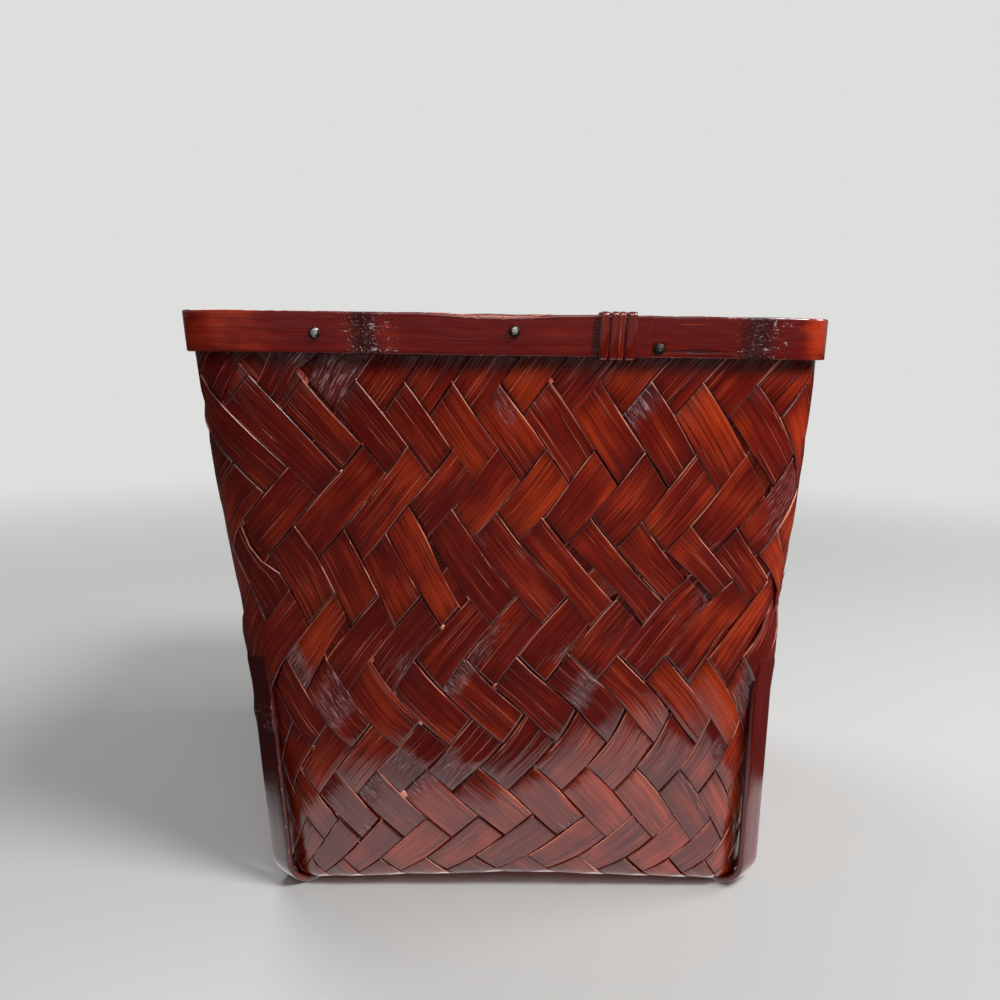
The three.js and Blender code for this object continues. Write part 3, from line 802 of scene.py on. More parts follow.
def lacquered_strip(name, finish, knot_reach, worn_edge, gloss):
    """Lacquer over a bent strip of bamboo, with black wrinkled nodes and worn edges, painted light at
    the front hoop's right end, and painted shadow beside the lashing and at the runners' tips
    """
    make = Shader(bpy.data.materials.new(name))
    place = make.attribute("place")
    node, wear, stain_and_shade = make.parts(make.attribute("marks"))
    bright, flecks, _ = make.parts(make.attribute("scars_and_painted_light"))
    hair = make.grain(place, (20, 2000, 1200), 2, 0.7)
    band = make.grain(place, (8, 420, 300), 3, 0.6)
    cloud = make.grain(place, (26, 60, 60), 3, 0.6)
    pits = make.grain(place, (520, 900, 900), 4, 0.75)
    ragged = make.grain(place, (150, 330, 330), 4, 0.75)
    scratch = make.grain(place, (34, 1300, 700), 2)
    wrinkle = make.grain(place, (330, 150, 150), 3, 0.6)
    # bright raises the hoop's colour where the marks ask, as painted light at the front's right end
    level = (cloud * 0.75 + band * 0.4 + bright * 0.3).ramp(0.54, 1.06)
    glow = (band * 0.25 + cloud * 0.8 + bright * 0.4).ramp(0.62, 0.92)
    knot = (node * knot_reach + ragged * 1.6 - 1.15).ramp(-0.1, 1.1)
    # Dark from the stain mark: real stains, and painted shadow beside the lashing and at the runners'
    # tips
    knot = knot.most((stain_and_shade + ragged * stain_and_shade).ramp(0.15, 0.9))
    squiggle = wrinkle.near(0.5, 0.010) * node.ramp(0.1, 0.5) * ragged.ramp(0.52, 0.58)
    flake = (ragged * 0.9 + pits * 0.4).ramp(0.74, 0.78) * flecks.ramp(0.2, 0.6)
    worn = (wear * 0.8 + ragged * 0.9 + hair * 0.2).ramp(worn_edge + 0.1, worn_edge + 0.2)
    fray = (hair * 0.6 + band * 0.6).ramp(0.50, 0.66) * 0.6 + 0.35
    colour_now = make.coats(
        finish.deep,
        (level, finish.red),
        (glow * 0.45, finish.glow),
        ((1 - hair.ramp(0.30, 0.48)) * 0.35, finish.dark_grain_and_shade),
        (scratch.ramp(0.71, 0.74) * 0.7, finish.glow),
        (knot * 0.93, finish.dark_grain_and_shade),
        (node.ramp(0.1, 0.6) * pits.ramp(0.62, 0.70) * 0.5, finish.glow),
        (squiggle * 0.5, finish.edge),
        (flake * 0.8, finish.scuff),
        (worn * fray, finish.edge),
    )
    height = hair * 0.10 + band * 0.25 + pits * knot * 0.9 + ragged * 0.15 + cloud * 1.1
    height = height - wrinkle.near(0.5, 0.03) * node * 0.8
    return make.surface(
        {
            "Base Color": colour_now,
            "Roughness": 0.10 + knot * 0.06 + worn * 0.35,
            "IOR": gloss,
            "Normal": make.bump(height, 0.00025),
        }
    )


def worn_iron(finish):
    """A nail's head: hammered, tarnished at its rim and bright where it is rubbed"""
    make = Shader(bpy.data.materials.new("worn_iron"))
    place = make.attribute("place")
    rim, dull, _ = make.parts(make.attribute("marks"))
    pits = make.noise(place, 900, 3, 0.65)
    rub = make.noise(place, 420, 2)
    bright = (pits * 0.7 + rub * 0.7 - rim * 0.45 - dull * 0.35).ramp(0.42, 0.66)
    return make.surface(
        {
            "Base Color": make.blend(bright, finish.rust, finish.iron),
            "Metallic": 0.8,
            "Roughness": 0.30 + pits * 0.3,
            "Normal": make.bump(pits + rub, 0.0003),
        }
    )


# Operators


def settings():
    return bpy.context.scene.basket


def the_form():
    return Form(settings().form, settings().hoop.height)


class BASKET_OT_splints(bpy.types.Operator):
    """Weaves the walls and the base from long splints, each as its own closed strip"""

    bl_idname = "basket.splints"
    bl_label = "Weave the splints"

    # Places across a splint, in half widths, and heights of its two faces at them
    OUTER = (
        (-1, 0.34), (-0.965, 0.5), (-0.92, 0.5), (0, 0.5), (0.92, 0.5), (0.965, 0.5), (1, 0.34)
    )
    INNER = ((1, -0.4), (0.5, -0.5), (-0.5, -0.5), (-1, -0.4))
    # Where the rings of a strip lie within each crossing
    STEPS = (0, 0.022, 0.06, 0.5, 0.94, 0.978)
    # How far inside its crossing a float has come down to its level, and lies in shade
    TURN_DOWN = 0.03
    SHADE = 0.3
    # Splints that close over the tip of a runner at the corner to their right, how far they
    # stand out there, how far short of the corner that is, half its width and how far it fades
    COVERS = (0, 1)
    COVER_RISE = 2.9 * MM
    COVER_SHORT = 0.05
    COVER_HALF = 0.5
    COVER_FADE = 0.6
    # Rows where they start and end to stand out, each with the rows that it takes
    COVER_START, START_OVER = 4.1, 0.3
    COVER_END, END_OVER = 5.15, 0.75
    # Half the gap that neighbours leave: where they lie close, where they lie open, what is
    # added near the base, and where the splints of two sides meet
    CLOSE_GAP, OPEN_GAP, LOW_GAP, SIDE_GAP = 0.005, 0.075, 0.014, 0.008
    # How near the cut ends no more rings are laid
    END_ROOM = 0.55
    # Rows over which the splints' foot is fresher and brighter than the rest
    FOOT = 2.6
    # Keeps the grain of two splints apart
    GRAIN_STEP = 3.71
    # How much of its lift a splint keeps between the hoops
    PRESSED = 0.8
    # From where to the side of its middle a splint is bare, in half widths, and how much of that its
    # lower edge shows. The upper edge shows all of it, as bare wood and as a painted highlight
    BARE_FROM = 0.96
    LOWER_EDGE = 0.15
    # How much further torn skin and gaps run than their stated reach
    RUN_ON = 1.7

    def execute(self, context):
        sizes = settings().splint
        form = the_form()
        material = lacquered_splint(settings().finish)
        pick = np.random.default_rng(sizes.seed)
        for side, name in enumerate(("front", "right", "back", "left")):
            parts = MeshParts()
            for i in range(-SIDE_SPLINTS // 2, SIDE_SPLINTS // 2):
                parts.add(*self.strip(form, sizes, side, i, pick))
            parts.build(f"splints_from_{name}", material, "splint_weave", "woven_body")
        return {"FINISHED"}

    def strip(self, form, sizes, side, i, pick):
        """The rings, places, marks, and torn skin, painted shade and age, of one splint"""
        phases = pick.uniform(0, 2 * math.pi, 5)
        width = sizes.width * pick.uniform(0.95, 1.02)
        top, bottom = i + 0.5 + 2 * TOP_ROW, -SIDE_SPLINTS - i - 0.5 - 2 * TOP_ROW
        first, last = math.floor(bottom + 1), math.floor(top)
        b = np.array([j + step for j in range(first, last) for step in self.STEPS])
        b = b[(b > bottom + self.END_ROOM) & (b < top - self.END_ROOM)]
        b = np.concatenate([[bottom], b, [top]])[:, None]
        left, left_gap = self.border(side, i, b)
        right, right_gap = self.border(side, i + 1, b)
        left_gap = left_gap + self.stand_back(side, i, b, -1)
        right_gap = right_gap + self.stand_back(side, i, b, 1)
        a_middle = (left + left_gap + right - right_gap) / 2
        room = (right - right_gap - left - left_gap) / 2
        half = self.half_width(form, side, a_middle, b, width, room)
        half = half * (0.99 + 0.01 * np.sin(1.7 * b + phases[2]))
        across, rise = np.array(self.OUTER + self.INNER).T[:, None]
        rise = rise * sizes.thickness
        crown = np.where(rise > 0, sizes.crown * (1 - across**2), 0)
        a = a_middle + across * half
        b = np.repeat(b, across.size, 1)
        b[0] = -SIDE_SPLINTS - a[0] - 2 * TOP_ROW
        b[-1] = a[-1] + 2 * TOP_ROW
        row = row_up(a, b)
        lift, near_end, tone, tip = self.lift(side, i, b, first, last, sizes, pick)
        calm = ease((TOP_ROW - row) / form.CALM_TOP)
        lift = lift * mix(self.PRESSED, 1, calm) + sizes.tip * tip * across * calm
        if i in self.COVERS:
            lift = lift + self.over_runner(a, b, row, lift)
        rings = form.sheet(side, a, b, form.sizes.thickness / 2 - lift - rise - crown)
        number = SIDE_SPLINTS * side + i + HALF_SIDE
        place = vectors(b * CROSSING, across * half * CROSSING, number * self.GRAIN_STEP)
        foot = bell(row / self.FOOT)
        marks = vectors(self.bare_edge_and_highlight(across, rings[..., 2]), near_end, tone + 0.35 * foot)
        age = 0.5 - 0.5 * np.sin(4 * math.pi * way_round(side, a, b) / AROUND)
        # Torn skin, the rows left under the hoops, which the shader paints in shadow, and age
        scars_and_painted_light = vectors(self.torn(side, i, b), TOP_ROW - row, age * (1 - 0.3 * foot))
        return rings[::-1], place[::-1], marks[::-1], scars_and_painted_light[::-1]

    def bare_edge_and_highlight(self, across, height):
        """How pale a splint's edges are: bare wood on both, and the upper one more, as a painted
        highlight
        """
        bare = np.where(height > height.mean(1, keepdims=True), 1.0, self.LOWER_EDGE)
        return np.where(np.abs(across) > self.BARE_FROM, bare, 0.0)

    def torn(self, side, i, b):
        """How torn a splint's skin is"""
        torn = 0 * b
        for way, number, crossing, reach in TORN:
            if lean(side, i, way == "rises") == number:
                ahead = self.RUN_ON * reach
                torn = torn + self.beside(side, i, b, way, crossing, reach, ahead)
        return torn

    def beside(self, side, i, b, way, crossing, reach, ahead=0.8):
        """1 where another splint crosses this one on the wall that it climbs that way, and less
        up to a reach behind that place and ahead of it"""
        on_wall = b > i if way == "rises" else b < -SIDE_SPLINTS - i
        away = wrapped(b + SIDE_SPLINTS * side - crossing - 0.5)
        behind = self.RUN_ON * reach
        return on_wall * np.maximum(0, np.minimum(1 + away / behind, 1 - away / ahead))

    def stand_back(self, side, i, b, edge):
        """How far an edge of a splint stands back from its neighbour"""
        back = 0 * b
        for way, number, crossing, reach, width, which in GAPS:
            step = edge if way == "rises" else -edge
            own = number if step > 0 else number + 1
            if which != step and lean(side, i, way == "rises") == own:
                back = back + width * self.beside(side, i, b, way, crossing, reach)
        return back

    def border(self, side, k, b):
        """The line between two neighbouring splints, and half the gap that they leave there"""
        low = self.LOW_GAP * bell(row_up(k, b) / 3)
        if abs(k) == HALF_SIDE:
            return k + 0 * b, self.SIDE_GAP + low
        p = np.random.default_rng((side, k + SIDE_SPLINTS, 4)).uniform(0, 2 * math.pi, 6)
        stray = 0.016 * (np.sin(0.9 * b + p[0]) + np.sin(2.1 * b + p[1])) + 0.02 * np.sin(p[2])
        open_part = np.maximum(0, np.sin(0.43 * b + p[3]) * np.sin(0.19 * b + p[4]) - 0.35)
        return k + stray, self.CLOSE_GAP + self.OPEN_GAP * open_part + low

    def half_width(self, form, side, a, b, width, room):
        """Half a splint's width in the lattice's units, where its neighbours leave room"""
        depth = form.sizes.thickness / 2
        reach = 0.2
        run = form.sheet(side, a, b + reach, depth) - form.sheet(side, a, b - reach, depth)
        run /= np.linalg.norm(run, axis=-1, keepdims=True)
        span = form.sheet(side, a + reach, b, depth) - form.sheet(side, a - reach, b, depth)
        span /= 2 * reach
        square = span - run * (span * run).sum(-1, keepdims=True)
        pitch = np.linalg.norm(square, axis=-1)
        return np.minimum(room, width / 2 / np.maximum(pitch, 1e-4))

    def lift(self, side, i, b, first, last, sizes, pick):
        """How far out of the weave's middle a splint lies, how near a float's end, and the
        tone and tip of each float"""
        start, stop = first - 4, last + 4
        states = {j: lies_outside(i, j) != swapped_over(side, i, j) for j in range(start, stop + 1)}
        lift, near_end, tone, tip = (np.zeros_like(b) for _ in range(4))
        own_tone = pick.uniform(0, 1)
        while start <= stop:
            end = start
            while end <= stop and states[end] == states[start]:
                end += 1
            inside = (b >= start) & (b < end)
            room = np.minimum(b - start, end - b)
            level = sizes.level * np.sin(math.pi / 2 * np.clip(room / self.TURN_DOWN, 0, 1))
            bow = sizes.bow * np.sin(math.pi * (b - start) / (end - start))
            sign = 1 if states[start] else -1
            lift = np.where(inside, sign * (level + bow), lift)
            near_end = np.where(inside, np.clip(1 - room / self.SHADE, 0, 1), near_end)
            tone = np.where(inside, mix(own_tone, pick.uniform(0, 1), 0.6), tone)
            tip = np.where(inside, pick.uniform(-1, 1) * level / sizes.level, tip)
            start = end
        return lift, near_end, tone, tip

    def over_runner(self, a, b, row, lift):
        """How far a splint stands out where it closes over a runner's tip"""
        away = np.abs((a + b) / 2 + self.COVER_SHORT - HALF_SIDE)
        beside = 1 - ease((away - self.COVER_HALF) / self.COVER_FADE)
        above = ease((row - self.COVER_START) / self.START_OVER)
        above = above * (1 - ease((row - self.COVER_END) / self.END_OVER))
        return np.where((b > a) & (lift > 0), self.COVER_RISE * beside * above, 0)


class BASKET_OT_slivers(bpy.types.Operator):
    """Lifts torn fibres and curled nicks from the splints' edges"""

    bl_idname = "basket.slivers"
    bl_label = "Lift the slivers"

    # Where bright chips show at a corner of four splints, in the lattice of the front, and
    # each chip's size
    NICKS = (
        (-8, 2, 1.0), (-7, 2, 0.8), (-8, -1, 0.8), (-5, 0, 1.1), (-5, 4, 0.7), (-7, 5, 0.6),
        (-7, 4, 0.6), (-9, 10, 0.6), (-6, 2, 0.5), (-3, 3, 0.5),
    )
    # A chip's section along and through it, as parts of its size
    NICK_PLACES = ((0.0, 0.6), (0.25, 1.0), (0.75, 1.0), (1.0, 0.6))
    # How many fibres are torn up, the rings of one and the points of each ring, and half a
    # fibre's thickness where it leaves the splint
    FIBRES, RINGS, POINTS = 110, 7, 4
    FIBRE_HALF = 0.17 * MM

    def execute(self, context):
        form, sizes = the_form(), settings().splint
        pick = np.random.default_rng(sizes.seed + 1)
        fibres = MeshParts()
        while fibres.count < self.FIBRES * self.RINGS * self.POINTS:
            side = int(pick.integers(4))
            i = int(pick.integers(-SIDE_SPLINTS // 2, SIDE_SPLINTS // 2))
            if pick.random() < 0.5:
                start = pick.uniform(i + 1, i + 18)
            else:
                start = -SIDE_SPLINTS - i - pick.uniform(1, 18)
            run = pick.uniform(0.3, 1.1) * pick.choice((-1, 1))
            if lies_outside(i, math.floor(start)) and lies_outside(i, math.floor(start + run)):
                edge = pick.choice((-0.46, 0.46)) + pick.uniform(-0.02, 0.02)
                rise = pick.uniform(0.1, 0.9) * MM
                self.fibre(fibres, form, sizes, side, (i + 0.5 + edge, start), run, rise, pick)
        for number, crossing, size in self.NICKS:
            self.nick(fibres, form, sizes, number, crossing, size)
        fibres.build("torn_fibres", lacquered_splint(settings().finish), "splint_weave")
        return {"FINISHED"}

    def nick(self, parts, form, sizes, rising, falling, size):
        """A bright chip of bare bamboo where four splints meet"""
        t, thin = np.array(self.NICK_PLACES).T[:, :, None]
        a = rising + 0.03 + 0.10 * size * np.array([[-1, 1, 1, -1]] * 4)
        b = falling + 0.02 + size * 0.2 * (t - 0.5) + 0 * a
        through = np.array([[-0.5, -0.5, 0.5, 0.5]]) * thin
        depth = form.sizes.thickness / 2 - sizes.level - sizes.thickness * (0.1 + through)
        place = vectors(b * 16 * MM, a * 16 * MM, 0.9)
        parts.add(form.sheet(0, a, b, depth), place, (1.0, 0.0, 0.9), (0.0, 5.0, 0.0))

    def fibre(self, parts, form, sizes, side, start, run, rise, pick):
        """One tapering fibre that leaves a splint's edge"""
        t = np.linspace(0, 1, self.RINGS)[:, None]
        turn = np.linspace(0, 2 * math.pi, self.POINTS, endpoint=False)[None, :] + 0.4
        thin = self.FIBRE_HALF * (1 - 0.85 * t**2)
        drift = pick.uniform(-0.05, 0.05) * t**2
        a = start[0] + drift + thin / CROSSING * np.cos(turn)
        b = start[1] + run * t + 0 * turn
        out = sizes.level + sizes.bow + sizes.thickness / 2
        depth = form.sizes.thickness / 2 - out - rise * t**1.6 + thin * np.sin(turn)
        rings = form.sheet(side, a, b, depth)
        if run < 0:
            rings = rings[:, ::-1]
        place = vectors(b * CROSSING, a * CROSSING, 1.7 * start[0])
        parts.add(rings[::-1], place, (1.0, 0.1, 0.8), (0.0, 5.0, 0.3))


class BASKET_OT_hoops(bpy.types.Operator):
    """Bends the two scarfed hoops round the rim, with culm nodes and a worn top edge"""

    bl_idname = "basket.hoops"
    bl_label = "Bend the hoops"

    def execute(self, context):
        form, sizes = the_form(), settings().hoop
        material = lacquered_strip("lacquered_hoop", settings().finish, 1.5, 0.90, 1.62)
        for name, slot in (("outer", "rim_bamboo"), ("inner", "inner_rim_bamboo")):
            hoop = Hoop(form, sizes, name == "outer")
            hoop.build(f"rim_hoop_{name}", material, slot, f"{name}_rim_hoop")
        return {"FINISHED"}


class Hoop:
    """One of the rim's two hoops"""

    # Heights on the strip's outer face, and the rest of its section: part of the thickness
    # and part of the height
    FACE = np.linspace(0.08, 0.92, 12)
    BELOW = ((0, 0.03), (0.2, 0), (0.8, 0), (0.95, 0.015), (1, 0.045))
    ABOVE = (
        (1, 0.955), (0.95, 0.985), (0.8, 1), (0.5, 1.004), (0.2, 1), (0, 0.97), (0, 0.66), (0, 0.33)
    )
    STATIONS = 900
    # Where the crack and the dent by the low nail lie, and the painted shadow just before the lashing:
    # along the rim, height, length, width
    STAINS_AND_SHADE = ((60.5, 0.22, 2.4, 0.12), (76, 0.17, 13, 0.035), (35, 0.4, 1.6, 0.6))
    # Where the hoop is painted brighter, at the front's right end as painted light from the right:
    # along the rim, reach, strength
    BRIGHT = ((123, 6.5, 0.85), (-115, 22, 0.48), (-60, 22, 0.3), (250, 30, 0.4), (-310, 40, 0.5))
    # Fibres torn up at the worn edge: start along the rim, length, rise
    TORN = ((-20, 16, 0.9), (-31, 9, 0.5), (-3, 11, 0.7), (9, 8, 0.4))
    # How far a node's dark stain lies before its ridge and its flecks lie after it, and how far
    # they reach
    DARK = (2.5 * MM, 7.5 * MM)
    FLECKS = (-5 * MM, 5.5 * MM)
    # How far the bumps of a node stand out, how rough the face, the top edge and the lower edge
    # are, how deep the top edge is chipped, and half the thickness of a torn fibre
    KNOB_RISE = 0.2 * MM
    FACE_ROUGH = 0.06 * MM
    TOP_ROUGH = 0.1 * MM
    LOW_ROUGH = 0.08 * MM
    CHIP_DEPTH = 0.25 * MM
    FIBRE_HALF = 0.32 * MM
    # Parts of the height over which the top edge and the lower edge are worn
    TOP_WEAR = 0.035
    LOW_WEAR = 0.06

    def __init__(self, form, sizes, outside):
        self.form, self.sizes, self.outside = form, sizes, outside
        self.lap_start = sizes.lap_start if outside else sizes.inner_lap_start
        self.lap_length = sizes.lap_length if outside else sizes.inner_lap_length
        self.thickness = sizes.thickness if outside else sizes.inner_thickness
        self.height = sizes.height if outside else sizes.inner_height
        self.rough = Ripple(11 if outside else 13, 14, 60)
        self.chipped = Ripple(17, 16, 420)

    def faces(self, distance):
        """Near and far face of the strip, where its scarfed ends lie over each other"""
        sizes, gap = self.sizes, self.form.sizes.gap
        into_start = (distance - self.lap_start) / self.lap_length
        into_end = (distance - self.lap_start - self.form.rim_length) / self.lap_length
        under = mix(sizes.scarf_tip, self.thickness, np.maximum(0, into_end)) + gap
        climb = np.clip(1 + into_end * self.lap_length / sizes.scarf_rise, 0, 1)
        far_over = mix(self.thickness, self.thickness + gap + sizes.scarf_tip, np.maximum(0, into_end))
        far = np.where(into_start < 1, mix(sizes.scarf_tip, self.thickness, into_start), self.thickness)
        return climb * under, np.where(climb > 0, far_over, far)

    def node_mark(self, distance, width):
        """1 at the middle of each culm node, and 0 away from them"""
        mark = 0
        for k in range(self.sizes.node_count):
            away = distance - self.sizes.first_node - k * self.sizes.node_spacing
            for turn_back in (0, self.form.rim_length):
                mark = mark + bell((away + turn_back) / width)
        return mark if self.outside else 0 * mark

    def from_middle(self, distance):
        """Distance along the rim, from the front's middle and the nearer way round"""
        whole = self.form.rim_length
        return np.mod(distance + whole / 2, whole) - whole / 2

    def dip(self, distance):
        """How deep the worn top edge lies, at the middle of the front"""
        away = np.abs(self.from_middle(distance) - self.sizes.dip_place)
        part = np.minimum(away / (self.sizes.dip_length / 2), 1)
        depth = self.sizes.dip_depth * np.cos(part * math.pi / 2) ** 2
        return depth if self.outside else 0 * depth

    def build(self, name, material, slot, node):
        form, sizes = self.form, self.sizes
        end = self.lap_start + form.rim_length + self.lap_length
        distance = np.linspace(self.lap_start, end, self.STATIONS)[:, None]
        low, high = self.faces(distance)
        s = distance / form.rim_length * AROUND
        section = (*self.BELOW, *((1, h) for h in self.FACE), *self.ABOVE)
        depth_part, height_part = np.array(section).T[:, None]
        mark = self.node_mark(distance, sizes.node_width)
        knobs = self.knobs(distance, height_part)
        swelling = mark * (sizes.node_rise + self.KNOB_RISE * knobs)
        depth = mix(low, high + swelling + self.FACE_ROUGH * self.rough(s, 0.0), depth_part)
        dip = self.dip(distance)
        worn = dip / sizes.dip_depth
        chips = self.CHIP_DEPTH * np.maximum(self.chipped(s, 0.0) - 0.4, 0) * (0.5 + 2 * worn)
        top = form.sizes.height - dip - self.outside * chips
        top = top + self.TOP_ROUGH * (self.rough(s, 2.0) - 1)
        bottom = form.sizes.height - self.height + self.outside * self.LOW_ROUGH * self.rough(s, 4.0)
        gap = form.sizes.gap
        offset = gap + depth if self.outside else -form.sizes.thickness - gap - depth
        rings = form.rim(distance, mix(bottom, top, height_part), offset)
        place = vectors(distance, height_part * self.height, depth)
        wear = np.clip(1 - np.abs(height_part - 1) / self.TOP_WEAR, 0, 1) * (0.52 + 0.8 * worn)
        wear = wear + 0.56 * np.clip(1 - height_part / self.LOW_WEAR, 0, 1)
        dark, flecks = (self.node_mark(distance + on, reach) for on, reach in (self.DARK, self.FLECKS))
        marks = vectors(dark, wear, self.stain_and_shade(distance, height_part))
        bright = 0 * distance
        for along, reach, strength in self.BRIGHT:
            bright = bright + strength * bell((self.from_middle(distance) - along * MM) / (reach * MM))
        layers = (rings, place, marks, vectors(bright, flecks, 0 * height_part))
        parts = MeshParts()
        parts.add(*layers if self.outside else (layer[::-1] for layer in layers))
        if self.outside:
            for start, run, rise in self.TORN:
                parts.add(*self.torn_fibre(start * MM, run * MM, rise * MM))
        parts.build(name, material, slot, node)

    def knobs(self, distance, height_part):
        """The small bumps of the nodes' ridges, between about -1.7 and 1.7"""
        knobs = np.sin(distance * 2300 + 5 * np.sin(height_part * 8))
        knobs = knobs * np.sin(height_part * 23 + distance * 700)
        return knobs + 0.7 * np.sin(distance * 3900 + height_part * 31)

    def stain_and_shade(self, distance, height_part):
        """How dark the hoop is stained at its dent and its crack, and painted in shadow beside the
        lashing
        """
        stain_and_shade = 0 * distance * height_part
        if self.outside:
            for along, height, run, reach in self.STAINS_AND_SHADE:
                away = bell((self.from_middle(distance) - along * MM) / (run * MM))
                stain_and_shade = stain_and_shade + away * bell((height_part - height) / reach)
        return np.minimum(stain_and_shade, 1)

    def torn_fibre(self, start, run, rise):
        """A fibre of the worn edge, torn up at one end"""
        t = np.linspace(0, 1, 9)[:, None]
        turn = np.linspace(0, 2 * math.pi, 5, endpoint=False)[None, :]
        thin = self.FIBRE_HALF * (1 - 0.8 * t)
        distance = start + run * t + 0 * turn
        z = self.form.sizes.height - self.dip(distance) - 0.1 * MM
        z = z + rise * t**1.5 + thin * np.sin(turn)
        offset = self.form.sizes.gap + self.thickness * 0.6 - thin * 2 * np.cos(turn)
        place = vectors(distance, 16 * MM, turn * MM)
        return self.form.rim(distance, z, offset), place, (0.0, 1.2, 0.0)


class BASKET_OT_lashing(bpy.types.Operator):
    """Winds the flat cane over the outer hoop's lap"""

    bl_idname = "basket.lashing"
    bl_label = "Wind the lashing"

    # Where each turn lies after the first, and its width, in millimetres
    TURNS = ((0, 3.3), (3.9, 2.75), (6.7, 2.85), (10.7, 3.8))
    # The strand's section, in halves of its width and thickness
    SECTION = (
        (-1, -0.5), (-0.9, -1), (0, -1), (0.9, -1), (1, -0.5), (1, 0.5), (0.88, 0.92),
        (0.45, 1.12), (0, 1.2), (-0.45, 1.12), (-0.88, 0.92), (-1, 0.5),
    )

    def execute(self, context):
        form, sizes = the_form(), settings().lashing
        hoop = Hoop(form, settings().hoop, outside=True)
        x, n, z, angle, side = np.array(self.path(form, sizes, hoop)).T[:, :, None]
        across, out = np.array(self.SECTION).T[:, None]
        across, out = across * side, out * sizes.thickness / 2
        points = form.rim(x, z + out * np.sin(angle), n + out * np.cos(angle))
        points[..., 0] += across
        run = walked(n[:, 0], z[:, 0])[:, None]
        edge = np.where(np.abs(across) > side * 0.95, 1.0, 0.0)
        parts = MeshParts()
        layers = (points, vectors(run, across, 5.0), vectors(edge, 0.0, 0.45))
        parts.add(*(layer[::-1] for layer in layers), (0.0, 5.0, 0.5))
        material = lacquered_splint(settings().finish)
        parts.build("cane_lashing", material, "lashing_cane", "rim_lashing")
        return {"FINISHED"}

    def path(self, form, sizes, hoop):
        """Places along the strand: along the rim, outwards, up, and the way it faces"""
        gap, half, r = form.sizes.gap, sizes.thickness / 2, sizes.turn_radius
        inwards = -form.sizes.thickness - 2 * gap - hoop.sizes.inner_thickness - half
        low = form.sizes.height - hoop.sizes.height - gap - half
        top = form.sizes.height + gap + half
        first = sizes.place - sizes.pitch * (len(self.TURNS) - 1) / 2
        stations = []

        def arc(x, n, z, start, side, steps=6):
            for i in range(steps + 1):
                angle = start + i / steps * math.pi / 2
                stations.append((x, n + r * math.cos(angle), z + r * math.sin(angle), angle, side))

        for loop, (place, width) in enumerate(self.TURNS):
            x, side = first + place * MM, width * MM / 2
            high = hoop.faces(np.array(x + form.rim_length))[1]
            swelling = hoop.node_mark(np.array(x), hoop.sizes.node_width) * hoop.sizes.node_rise
            out = gap + float(high + swelling) + gap + half
            final = loop == len(self.TURNS) - 1
            next_place, next_width = self.TURNS[loop + 1 - final]
            next_x, next_side = first + next_place * MM, next_width * MM / 2
            if loop == 0:
                stations.append((x, inwards, low, -math.pi / 2, side))
            arc(x, out - r, low + r, -math.pi / 2, side)
            for k in range(1, 4):
                stations.append((x, out, mix(low + r, top - r, k / 4), 0, side))
            arc(x, out - r, top - r, 0, side)
            arc(x, inwards + r, top - r, math.pi / 2, side)
            down = low + sizes.thickness * 2 if final else low + r
            for k in range(1, 6 + final):
                part = k / 6
                along, wide = mix(x, next_x, part), mix(side, next_side, part)
                stations.append((along, inwards, mix(top - r, down, part), math.pi, wide))
            if not final:
                arc(next_x, inwards + r, low + r, math.pi, next_side)
        return stations


